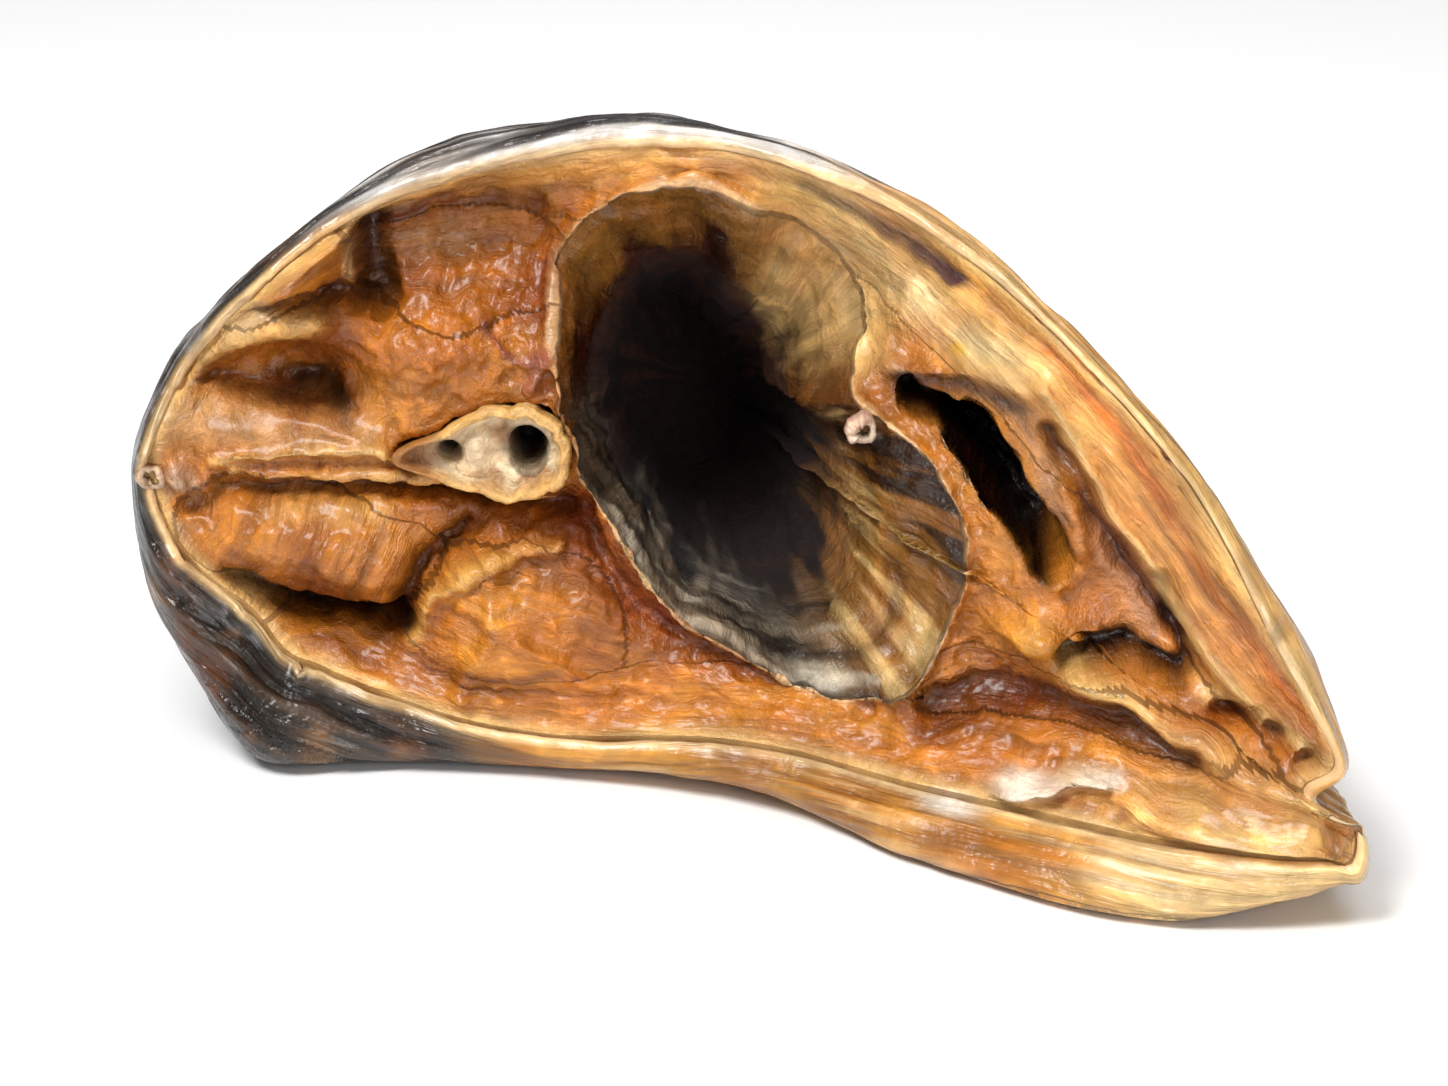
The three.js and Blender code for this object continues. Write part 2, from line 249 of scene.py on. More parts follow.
def foldAt(turn, amount):
    return sum(fold[amount] * bell(turn - fold["turn"], fold["width"]) for fold in skinFolds)


def flankAt(turn, distance, length, inset=0.0):
    across, up = outlineAt(turn)
    front = (steak["edgeDrawIn"] + foldAt(turn, "depth")) * roundedEdge(distance, steak["edgeRunIn"])
    tail = steak["tailDrawIn"] * roundedEdge(length - distance, steak["tailRunIn"])
    across, up = drawIn(across, up, front + tail + inset)
    return taper(across, up, distance / length)


def foldForward(turn, distance, length):
    return foldAt(turn, "forward") * (1 - roundedEdge(distance, steak["edgeRunIn"])) * (1 - distance / length)


def bodyLines(turn):
    # where each line of the flank starts at the larger cut, and how long it runs to the tail end
    startAcross, startUp = flankAt(turn, 0.0, steak["length"])
    startDepth = frontFace(startAcross, startUp)
    tailAcross, tailUp = taper(*outlineAt(turn), 1.0)
    return startDepth, tailCut(tailAcross, tailUp) - startDepth


def evenTurns(count):
    # turns that part the cut's rim into even steps
    fine = np.linspace(0, 2 * math.pi, 6001)
    across, up = flankAt(fine, 0.0, steak["length"])
    steps = np.hypot(np.diff(across), np.diff(up))
    reach = np.concatenate([[0], np.cumsum(steps)])
    return np.interp(np.linspace(0, reach[-1], count + 1), reach, fine)


def cavityAt(direction, depth, ragged=0.0):
    angle = direction - cavity["tilt"]
    oval = 1 / np.hypot(np.cos(angle) / cavity["halfLength"], np.sin(angle) / cavity["halfWidth"])
    bite = cavity["biteDepth"] * bell(direction - cavity["biteAt"], cavity["biteWidth"]) * (1 - depth)
    closing = np.sqrt(1 - np.clip(1 - (1 - depth) / cavity["endRounding"], 0, 1) ** 2)
    size = (oval - bite + ragged) * mix(1, cavity["floorScale"], depth)
    closeIn = np.interp(np.degrees(direction), *zip(*funnelIn), period=360)
    inFully = 1 - np.exp(-depth / cavity["funnelRun"])
    size = (size - closeIn * inFully * (1 - cavity["funnelFade"] * depth)) * closing
    across = mix(cavity["mouth"][0], cavity["floor"][0], depth) + size * np.cos(direction)
    return across, mix(cavity["mouth"][1], cavity["floor"][1], depth) + size * np.sin(direction)


def asPoints(x, y, z):
    return np.stack(np.broadcast_arrays(x, y, z), axis=-1)


def onCircle(direction, radius):
    return asPoints(np.cos(direction) * radius, np.sin(direction) * radius, 0.0)


def closerAtEnds(step, share):
    # even steps from 0 to 1, drawn towards both ends
    return mix(step, (1 - np.cos(math.pi * step)) / 2, share)


def closeSeam(*layers):
    # the first and last columns of a closed net are the same line
    for layer in layers:
        layer[:, -1] = layer[:, 0]


def netNormals(points):
    # outward normals of a closed net of rows and columns
    down = np.gradient(points, axis=0)
    ring = np.concatenate([points[:, -2:-1], points, points[:, 1:2]], axis=1)
    normal = np.cross((ring[:, 2:] - ring[:, :-2]) / 2, down)
    return normal / np.maximum(np.linalg.norm(normal, axis=-1, keepdims=True), 1e-9)


# The solids' box is centred on the origin, so the body's lines are moved by the centre of its reach.
fleshLow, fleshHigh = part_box("flesh")
sampleTurns = np.linspace(0, 2 * math.pi, 721)
sampleDepth, sampleLength = bodyLines(sampleTurns)
sampleRun = np.linspace(0, 1, 41)[:, None] * sampleLength
sampleAcross = flankAt(sampleTurns, sampleRun, sampleLength)[0]
sampleY = sampleDepth + sampleRun - foldForward(sampleTurns, sampleRun, sampleLength)
shift = np.array([
    1000 * (fleshLow.x + fleshHigh.x) / 2 - (sampleAcross.min() + sampleAcross.max()) / 2,
    1000 * (fleshLow.y + fleshHigh.y) / 2 - (sampleY.min() + sampleY.max()) / 2,
    0.0,
])
print("frame loaded, shift of the body's lines in mm:", np.round(shift, 3))


def shade(code):
    # a colour as a paint picker writes it, in linear light
    value = np.array([int(code[i:i + 2], 16) for i in (0, 2, 4)]) / 255
    return np.where(value <= 0.04045, value / 12.92, ((value + 0.055) / 1.055) ** 2.4)


def layOn(colour, *washes):
    # lays washes over what is there, each a tint, as its colour and its strength, and where it goes
    for (code, strength), mask in washes:
        colour = mix(colour, shade(code), np.clip(strength * mask, 0, 1)[..., None])
    return colour


def flatNet(name, columns, rows):
    # a flat grid, with the column and the row that each of its vertices stands for
    bm = bmesh.new()
    bmesh.ops.create_grid(bm, x_segments=columns, y_segments=rows, size=0.5)
    mesh = bpy.data.meshes.new(name)
    bm.to_mesh(mesh)
    bm.free()
    flat = np.empty(len(mesh.vertices) * 3)
    mesh.vertices.foreach_get("co", flat)
    flat = flat.reshape(-1, 3) + 0.5
    return mesh, np.rint(flat[:, 1] * rows).astype(int), np.rint(flat[:, 0] * columns).astype(int)


def mouldNet(name, points, wash, gloss, grain, material, node):
    # a net of rows and columns in millimetres becomes a closed piece that stands for a node of the solids
    closeSeam(points, wash, gloss, grain)
    mesh, row, column = flatNet(name, points.shape[1] - 1, points.shape[0] - 1)
    placed = (points + shift)[row, column] / 1000
    mesh.vertices.foreach_set("co", placed.ravel())
    opaque = np.concatenate([wash, np.ones((*gloss.shape, 1))], axis=-1)
    for key, kind, field, values in (("wash", "FLOAT_COLOR", "color", opaque),
                                     ("gloss", "FLOAT", "value", gloss),
                                     ("grain", "FLOAT_VECTOR", "vector", grain)):
        layer = mesh.attributes.new(key, kind, "POINT")
        layer.data.foreach_set(field, values[row, column].ravel())
    bm = bmesh.new()
    bm.from_mesh(mesh)
    bmesh.ops.remove_doubles(bm, verts=bm.verts, dist=1e-7)    # seam and poles
    bmesh.ops.recalc_face_normals(bm, faces=bm.faces)
    for face in bm.faces:
        face.smooth = True
    bm.to_mesh(mesh)
    openEdges = sum(not edge.is_manifold for edge in bm.edges)
    bm.free()
    piece = bpy.data.objects.new(name, mesh)
    bpy.context.collection.objects.link(piece)
    mesh.materials.append(material)
    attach(piece, "root")
    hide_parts(node)
    print(name, "made:", len(mesh.polygons), "faces,", openEdges, "open edges")


def feed(tree, node, given):
    # gives a shader node's inputs their values, or links them from other nodes' sockets
    for key, value in given.items():
        if isinstance(value, bpy.types.NodeSocket):
            tree.links.new(value, node.inputs[key])
        else:
            node.inputs[key].default_value = value


def addNode(tree, kind, given=None, **settings):
    node = tree.nodes.new(kind)
    for key, value in settings.items():
        setattr(node, key, value)
    feed(tree, node, given or {})
    return node.outputs


def ranged(tree, value, low=0.0, high=1.0, toLow=0.0, toHigh=1.0, curve="LINEAR"):
    return addNode(tree, "ShaderNodeMapRange", {
        "Value": value, "From Min": low, "From Max": high, "To Min": toLow, "To Max": toHigh},
        interpolation_type=curve)[0]


def scaled(tree, colour, amount):
    return addNode(tree, "ShaderNodeVectorMath", {0: colour, "Scale": amount}, operation="SCALE")[0]


# What each material gives the grain, by the names of the group's inputs.
grainInputs = {
    "Streak Scale": "streakScale", "Crumple Scale": "crumpleScale", "Crumple Share": "crumpleShare",
    "Crease Scale": "creaseScale", "Crease Share": "creaseShare", "Detail": "detail",
}


def makeDriedGrain():
    # streaks along the grain, a crumpled film, thin creases, and the height that they make
    group = bpy.data.node_groups.new("dried grain", "ShaderNodeTree")
    for name in ("Grain", "Place"):
        group.interface.new_socket(name, in_out="INPUT", socket_type="NodeSocketVector")
    for name in grainInputs:
        group.interface.new_socket(name, in_out="INPUT", socket_type="NodeSocketFloat")
    for name in ("Streak", "Crumple", "Crease", "Height"):
        group.interface.new_socket(name, in_out="OUTPUT", socket_type="NodeSocketFloat")
    given = addNode(group, "NodeGroupInput")
    streaks = addNode(group, "ShaderNodeTexNoise", {
        "Vector": given["Grain"], "Scale": given["Streak Scale"], "Detail": given["Detail"],
        "Roughness": 0.62, "Distortion": 0.4})
    streak = ranged(group, streaks["Fac"], 0.3, 0.7, curve="SMOOTHSTEP")
    crumples = addNode(group, "ShaderNodeTexNoise", {
        "Vector": given["Place"], "Scale": given["Crumple Scale"], "Detail": given["Detail"],
        "Roughness": 0.6, "Distortion": 0.3})
    crumple = ranged(group, crumples["Fac"], 0.38, 0.68, curve="SMOOTHSTEP")
    bent = addNode(group, "ShaderNodeVectorMath", {
        0: streaks["Color"], 1: (1.6, 1.6, 1.6), 2: given["Grain"]}, operation="MULTIPLY_ADD")
    creases = addNode(group, "ShaderNodeTexVoronoi", {
        "Vector": bent[0], "Scale": given["Crease Scale"]}, feature="DISTANCE_TO_EDGE")
    crease = ranged(group, creases["Distance"], 0.0, 0.24, curve="SMOOTHSTEP")
    soft = addNode(group, "ShaderNodeMix", {0: given["Crumple Share"], 2: streak, 3: crumple})
    height = addNode(group, "ShaderNodeMix", {0: given["Crease Share"], 2: soft[0], 3: crease})
    addNode(group, "NodeGroupOutput", {
        "Streak": streak, "Crumple": crumple, "Crease": crease, "Height": height[0]})
    return group


driedGrain = makeDriedGrain()


def driedMaterial(name, look):
    # painted washes, broken up by the grain, under a skin of dried oil
    material = bpy.data.materials.new(name)
    material.use_nodes = True
    tree = material.node_tree
    wash = addNode(tree, "ShaderNodeAttribute", attribute_name="wash")["Color"]
    grainLine = addNode(tree, "ShaderNodeAttribute", attribute_name="grain")["Vector"]
    gloss = addNode(tree, "ShaderNodeAttribute", attribute_name="gloss")["Fac"]
    place = addNode(tree, "ShaderNodeTexCoord")["Object"]
    given = {socket: look[key] for socket, key in grainInputs.items()}
    grain = addNode(tree, "ShaderNodeGroup", {"Grain": grainLine, "Place": place, **given},
                    node_tree=driedGrain)
    streaked = ranged(tree, grain["Streak"], toLow=look["streakDark"], toHigh=look["streakLight"])
    # the grain's creases darkened: painted shade
    creaseShading = ranged(tree, grain["Crease"], toLow=look["creaseShade"])
    lined = addNode(tree, "ShaderNodeMath", {0: streaked, 1: creaseShading}, operation="MULTIPLY")
    patches = addNode(tree, "ShaderNodeTexNoise", {
        "Vector": place, "Scale": look["patchScale"], "Detail": 3.0, "Roughness": 0.55})
    patch = ranged(tree, patches["Fac"], 0.35, 0.7, 0.0, look["patchShare"], "SMOOTHSTEP")
    patched = addNode(tree, "ShaderNodeMix", {
        0: patch, 6: scaled(tree, wash, lined[0]), 7: (*shade(look["patchColour"]), 1)},
        data_type="RGBA", blend_type="MULTIPLY")
    # crests of the crumpled film lightened and its dips darkened: painted highlights and painted shade
    film = ranged(tree, grain["Crumple"], toLow=look["filmShade"], toHigh=look["filmHighlight"])
    fine = addNode(tree, "ShaderNodeTexNoise", {
        "Vector": place, "Scale": look["fineScale"], "Detail": 4.0})["Fac"]
    roughness = addNode(tree, "ShaderNodeMath", {0: fine, 1: look["glossBreak"], 2: gloss},
                        operation="MULTIPLY_ADD")
    height = addNode(tree, "ShaderNodeMath", {0: fine, 1: look["fineHeight"], 2: grain["Height"]},
                     operation="MULTIPLY_ADD")
    bump = addNode(tree, "ShaderNodeBump", {
        "Strength": look["bumpStrength"], "Distance": look["bumpDepth"], "Height": height[0]})
    feed(tree, tree.nodes["Principled BSDF"], {
        "Base Color": scaled(tree, patched[2], film), "Roughness": roughness[0], "Normal": bump["Normal"],
        "Coat Weight": ranged(tree, gloss, 0.4, 0.65, look["oil"], 0.0), "Coat Roughness": 0.22, "IOR": 1.45,
        "Subsurface Weight": look["subsurface"], "Subsurface Scale": look["subsurfaceReach"],
        "Subsurface Radius": (1.0, 0.38, 0.14)})
    return material


fleshLook = {
    "streakScale": 1.1, "crumpleScale": 330.0, "crumpleShare": 0.45, "streakDark": 0.82, "streakLight": 1.16,
    "creaseScale": 0.35, "creaseShare": 0.12, "creaseShade": 0.86, "detail": 5.0,
    "patchScale": 120.0, "patchShare": 0.4, "patchColour": "c98a4a", "filmShade": 0.88, "filmHighlight": 1.18,
    "fineScale": 2600.0, "fineHeight": 0.2, "glossBreak": 0.22,
    "bumpStrength": 0.85, "bumpDepth": 0.0006, "subsurface": 0.13, "subsurfaceReach": 0.0016, "oil": 0.3,
}
skinLook = {
    "streakScale": 0.8, "crumpleScale": 300.0, "crumpleShare": 0.55, "streakDark": 0.86, "streakLight": 1.1,
    "creaseScale": 0.42, "creaseShare": 0.55, "creaseShade": 0.66, "detail": 3.0,
    "patchScale": 160.0, "patchShare": 0.4, "patchColour": "c08f5c", "filmShade": 0.88, "filmHighlight": 1.14,
    "fineScale": 3200.0, "fineHeight": 0.06, "glossBreak": 0.2,
    "bumpStrength": 0.8, "bumpDepth": 0.0006, "subsurface": 0.0, "subsurfaceReach": 0.0008, "oil": 0.35,
}
boneLook = {
    "streakScale": 1.0, "crumpleScale": 700.0, "crumpleShare": 0.5, "streakDark": 0.85, "streakLight": 1.1,
    "creaseScale": 0.6, "creaseShare": 0.1, "creaseShade": 0.85, "detail": 5.0,
    "patchScale": 260.0, "patchShare": 0.35, "patchColour": "c08a50", "filmShade": 0.9, "filmHighlight": 1.08,
    "fineScale": 4200.0, "fineHeight": 0.3, "glossBreak": 0.2,
    "bumpStrength": 0.8, "bumpDepth": 0.0004, "subsurface": 0.05, "subsurfaceReach": 0.0008, "oil": 0.15,
}
fleshMaterial = driedMaterial("dried flesh", fleshLook)
skinMaterial = driedMaterial("dried skin", skinLook)
boneMaterial = driedMaterial("dried bone", boneLook)
print("materials made")


# The backbone: a thin-walled vertebra with its pit and its nerve canal, seen at both cuts.
bone = {
    "centre": (36.6, 29.2), "columns": 176, "pitRows": 12, "faceRows": 40, "runRows": 8, "smoothing": 31,
    "pitHalf": (1.8, 2.3), "pitDepth": 6.0, "standOut": 1.6, "canalDepth": 3.5, "bowl": 1.7, "wall": 0.75,
    "ragged": 0.3, "pitRagged": 0.08, "rough": 0.25, "edge": 0.5, "edgeDrop": 0.6, "gloss": 0.25, "seat": 9.0,
    "tailPit": 3.6, "tailOut": 1.0,    # the pit there is kept shorter than the flesh behind it
    "lowered": steak["bone"][1] * steak["heightTaper"], "colour": "f0d8b0",
    "canal": spot("nerve canal", (29.6, 28.6), (1.0, 0.8), power=4),
    "bridge": spot("bridge beside the canal", (32.0, 28.6), (1.2, 2.2), power=3),
    "stain": spot("brown beside the pit", (34.6, 30.2), (1.0, 1.6), power=3),
}
# the pit and the canal are near black as painted shade
boneTints = {
    "patch": ("b57c3c", 0.7), "wall": ("e6b25e", 0.85), "blade": ("9a5c22", 0.85),
    "stain": ("8a5a30", 0.7), "pit": ("140602", 1.0), "canal": ("1c0904", 0.97),
}
boneCorners = [
    (23.6, 28.0), (28.4, 30.3), (31.8, 32.4), (35.2, 33.2), (38.2, 32.8), (40.3, 30.5),
    (40.0, 27.7), (38.2, 25.7), (35.2, 25.0), (31.8, 25.8), (28.4, 26.8),
]


def boneReach(direction):
    # how far the vertebra's edge lies from its middle, smoothed between its corners
    corners = np.array(boneCorners) - bone["centre"]
    angle = np.arctan2(corners[:, 1], corners[:, 0])
    order = np.argsort(angle)
    fine = np.linspace(-math.pi, math.pi, 721)
    values = np.interp(fine, angle[order], np.hypot(*corners.T)[order], period=2 * math.pi)
    window = bone["smoothing"]
    kernel = np.hanning(window) / np.hanning(window).sum()
    padded = np.concatenate([values[-window:-1], values, values[1:window]])
    rounded = np.convolve(padded, kernel, "same")[window - 1:1 - window]
    return np.interp((direction + math.pi) % (2 * math.pi) - math.pi, fine, rounded)


def boneMask(across, up, lowered):
    # 1 well inside the vertebra's edge, 0 outside it
    right, high = across - bone["centre"][0], up - bone["centre"][1] + lowered
    return smooth(0.3, 0.9, boneReach(np.arctan2(high, right)) - np.hypot(right, high))


# The flesh: one net from the blind end of the cavity, over the larger cut and under the skin, closed inside.
flesh = {
    "columns": 510, "cavityRows": 38, "faceRows": 138, "rowsToEnds": 0.45, "rowsToMouth": 0.7,
    "flankSteps": (0, 0.02, 0.1, 0.3, 0.6, 1.1, 1.8, 2.7, 3.8, 5.2, 7, 10, 14, 18),
    "flankShares": (0.6, 0.8), "flankEnd": 5.0, "underSkin": 0.5, "deepUnderSkin": 1.7,
    "warp": 0.7, "warpSize": 5.0, "mouthRagged": 0.6, "mouthLip": 1.0, "mouthLipWidth": 0.7,
    "funnelRounding": 3.0, "funnelEdge": 3.0, "wave": 0.5, "waveSize": 7.0, "crumple": 0.3,
    "crumpleSize": 2.4, "cavityFold": 0.9, "gloss": 0.2, "cavityGloss": 0.75, "mottleSize": 8.0,
    "colour": "b36c1e",
    "tone": (0.86, 0.77, 0.57),    # a last warm darkening of all the washes
}
fleshTints = {    # each a colour and its strength
    # deep darkens the hollows as painted shade
    "dark": ("84410c", 0.6), "light": ("e0a04a", 0.5), "deep": ("2c1003", 0.5),
    "mouthEdge": ("f2cfa8", 0.9), "funnelEdge": ("efd39c", 0.75), "rim": ("f6d196", 0.85),
    "fatAndHighlight": ("fff3e0", 0.92),
}
# the lining's light and dark streaks are painted highlights and painted shade, and the dark fold stripes
# painted shade
cavityTints = {
    "liningHighlight": ("cfcfd2", 0.8), "liningSheenShade": ("140c0b", 0.8), "foldShade": ("1c0b04", 0.9),
    "lightFold": ("e6cb98", 0.8),
}
webbedMound = spot("web over the mound", (31, 39), (8, 5), tilt=10, power=3, depth=0.35)

# Sharper forms of the cut, on top of the broad ones.
fineForms = [
    spot("flat of the lobe", (14.6, 45.4), (7.4, 4.6), tilt=28, power=8, depth=-2.6),
    stroke("shade right of the lobe", [(22.6, 49.6), (23, 46), (23.6, 42.4)], 1.4, depth=3.0),
    stroke("gap under the lobe", [(7, 39.4), (12.9, 41.2), (19.5, 41.8), (24, 41)], 0.9, depth=3.0),
    stroke("pale ridge", [(7.2, 35.8), (12.9, 38.3), (18.5, 39.4)], 1.3, depth=-2.2),
    stroke("slope under the pale ridge", [(9, 34.4), (14, 35.4), (19, 35)], 1.6, depth=1.2),
    stroke("filling of the crease", [(4, 34.2), (8, 34.2), (13, 34.4)], 2.0, depth=-1.7),
    spot("dark pocket", (17.6, 32.3), (2.8, 1.2), tilt=-10, power=3, depth=2.6),
    stroke("crease to the back's edge", [(4.5, 33.4), (10.6, 33), (15, 32.6)], 0.5, depth=0.8),
    stroke("edge of the pale pad", [(4.5, 32.2), (12, 31.7), (19, 29.9), (24, 28.8)], 0.8, depth=-0.8),
    spot("mound over the backbone", (29, 38), (5.5, 3.4), tilt=10, power=3, depth=-1.4),
    stroke("vein", [(40.2, 42.2), (39.2, 38), (36.6, 35)], 0.6, depth=-0.8),
    stroke("second vein", [(32.5, 39.5), (34.8, 36.3), (38.6, 37.2)], 0.5, depth=-0.6),
    spot("dark knob above the ring", (39.6, 33.6), (1.0, 1.0), power=3, depth=-1.4),
    stroke("film above the blade", [(9, 26.9), (13, 27.8), (19, 28.3), (24.2, 28.5)], 0.5, depth=-1.3),
    stroke("film under the blade",
           [(11, 25.9), (18.9, 26.2), (24.2, 26.5), (29.5, 26.4), (34, 24.7), (38.6, 24.6)],
           0.5, depth=-1.2),
    stroke("gutter under the blade", [(9, 24.2), (18.9, 24.9), (26, 25.1), (33, 23.4), (39, 23.2)],
           0.9, depth=2.4),
    stroke("crease under the long mound", [(9.5, 16), (15.2, 14), (20.5, 12.8), (25.4, 13)], 1.1, depth=4.0),
    stroke("edge of the lower mound", [(25.9, 11.7), (28.2, 16.3), (33.3, 19.7), (39, 20.5)],
           0.8, depth=-1.7),
    stroke("valley beside that edge", [(24.6, 13.6), (26.6, 17.8), (31.4, 21.4)], 0.9, depth=2.6),
    stroke("facet of the lower mound", [(33.3, 19.7), (33.5, 14), (31, 7)], 0.8, depth=-1.1),
    stroke("second facet", [(34, 13), (39, 11), (43, 8)], 0.8, depth=-0.7),
    stroke("gutter along the cavity",
           [(40.5, 23), (43.0, 18.6), (46, 14.8), (51, 12), (58, 10.8), (66, 9.8)], 1.3, depth=2.2),
    stroke("furrow of the lower flap", [(72, 11), (79.3, 13), (86.9, 13), (91.5, 11)], 1.8, depth=3.2),
    stroke("ridge to the tip", [(82.3, 16.4), (88.4, 14.2), (95.2, 11.2), (101.2, 10)], 1.1, depth=-2.2),
    stroke("slit", [(82, 17.9), (86.9, 18.4), (91.6, 17.6)], 0.8, depth=3.4),
    stroke("upper slit", [(89.3, 24.6), (91.2, 21.2), (92.6, 18.2)], 0.7, depth=2.6),
    spot("amber nub", (79, 18.9), (2.8, 1.6), power=3, depth=-3.0),
    stroke("amber edge", [(81.8, 31.5), (82.8, 26.4), (81.2, 23.2)], 0.8, depth=-1.6),
    stroke("roof over the side pocket", [(67.6, 38), (73, 39.2), (78.6, 39.2)], 1.0, depth=-1.6),
    stroke("inner edge of the belly wall",
           [(79.5, 39.4), (82.4, 35.6), (85.4, 29.8), (89, 25), (92.8, 20.4), (96.4, 16.8)],
           0.7, depth=-1.5),
    stroke("trench inside that edge", [(80.6, 35.6), (83.6, 29.6), (87.4, 24.6), (91, 20.4)],
           0.9, depth=1.9),
    spot("pale flap at the tip", (95, 6.6), (8.5, 3.0), tilt=-6, power=3, depth=-2.0),
    # the raised edge of the flap, which carries a painted highlight
    stroke("white edge of the flap", [(70, 4.6), (74, 5.2), (78.9, 7.2), (84.6, 8.8)], 0.5, depth=-1.7),
    stroke("neck of the side pocket", [(69.2, 36), (71.6, 35.4), (74.4, 33.8)], 1.0, power=4, depth=6),
    stroke("side pocket", [(74, 34), (76, 31.8), (78.4, 28.6), (80.6, 25)], 1.8, power=6, depth=14),
    spot("first pit at the tip", (95.2, 14.9), (1.3, 1), power=3, depth=2.6),
    spot("second pit at the tip", (98.2, 14.4), (1.1, 1), power=3, depth=2.6),
    spot("third pit at the tip", (100.6, 13), (1, 0.9), power=3, depth=2.4),
    spot("hole at the tip", (103.4, 12), (1, 0.9), power=3, depth=2.4),
    spot("lilac bit at the back", (5.8, 25.6), (0.9, 1.5), tilt=20, power=3, depth=-1.6),
    spot("second bit", (8, 24.8), (0.8, 1.0), power=3, depth=-1.2),
    spot("third bit", (3.4, 23.2), (1.2, 0.8), power=3, depth=-1.0),
    spot("gap between the bits", (7, 23.4), (1.2, 0.7), power=3, depth=1.6),
]
whiteBits = [    # lumps of fat on the edge of the lower flap, painted white: partly their colour, partly painted highlights
    spot("first bit of fat", (72.4, 4.9), (2.3, 0.8), tilt=6, power=3, depth=-1.0),
    spot("second bit of fat", (78.8, 7.4), (2.6, 0.9), tilt=12, power=3, depth=-1.2),
    spot("third bit of fat", (84.6, 8.8), (2.0, 0.8), tilt=18, power=3, depth=-1.0),
]
calmSpots = [    # where the dried film is smooth
    stroke("belly wall", [(58, 54), (69.5, 46.6), (79, 40), (85, 35), (90, 28), (96, 21)],
           5.0, power=4, calm=0.75),
    stroke("ridges at the tip", [(83, 15), (92, 13), (101, 11.5)], 4.0, power=4, calm=0.6),
    stroke("pale pad", [(4.5, 31), (10, 30.2), (16, 29.6), (22, 29)], 2.0, power=4, calm=0.85),
    spot("amber nub", (79, 18.9), (4, 2.8), power=4, calm=0.9),
    spot("lobe", (14.6, 45.4), (7.4, 4.6), tilt=28, power=4, calm=0.6),
    spot("flap at the tip", (94, 7), (11, 4), tilt=-6, power=4, calm=0.7),
]

# Grain of the dried muscle: its direction in degrees, its size in millimetres,
# and how much it stands out and lightens.
fibres = [
    spot("lobe", (14.6, 45.4), (8, 5), tilt=28, power=4, grain=26, size=1.3, depth=0.4, light=0.45),
    stroke("top and belly wall",
           [(22, 50.6), (32, 51.8), (41, 53.4), (48, 54.6), (55, 54.8), (62, 51.6), (70, 46.4), (79, 40),
            (86, 34), (91, 27.6), (97, 20.6), (102, 15)], 4.4, power=4, size=1.1, depth=0.24, light=0.38),
    spot("upper hollow", (30.5, 44.6), (9, 5), power=4, grain=4, size=1.7, depth=0.3, light=0.3),
    spot("long mound", (17, 19.8), (11, 5), tilt=-12, power=4, grain=62, size=1.7, depth=0.5, light=0.45),
    spot("round lower mound", (35, 13), (9, 7), power=4, grain=-14, size=2.4, depth=0.35, light=0.3),
    stroke("lower face and flap", [(16, 9.5), (28, 7), (40, 6), (56, 7), (72, 8), (86, 9.4), (101, 7)],
           3.8, power=4, size=1.1, depth=0.26, light=0.4),
    stroke("furrow of the flap", [(72, 12), (82, 13.6), (92, 12)],
           2.6, power=4, size=1.6, depth=0.35, light=0.35),
]

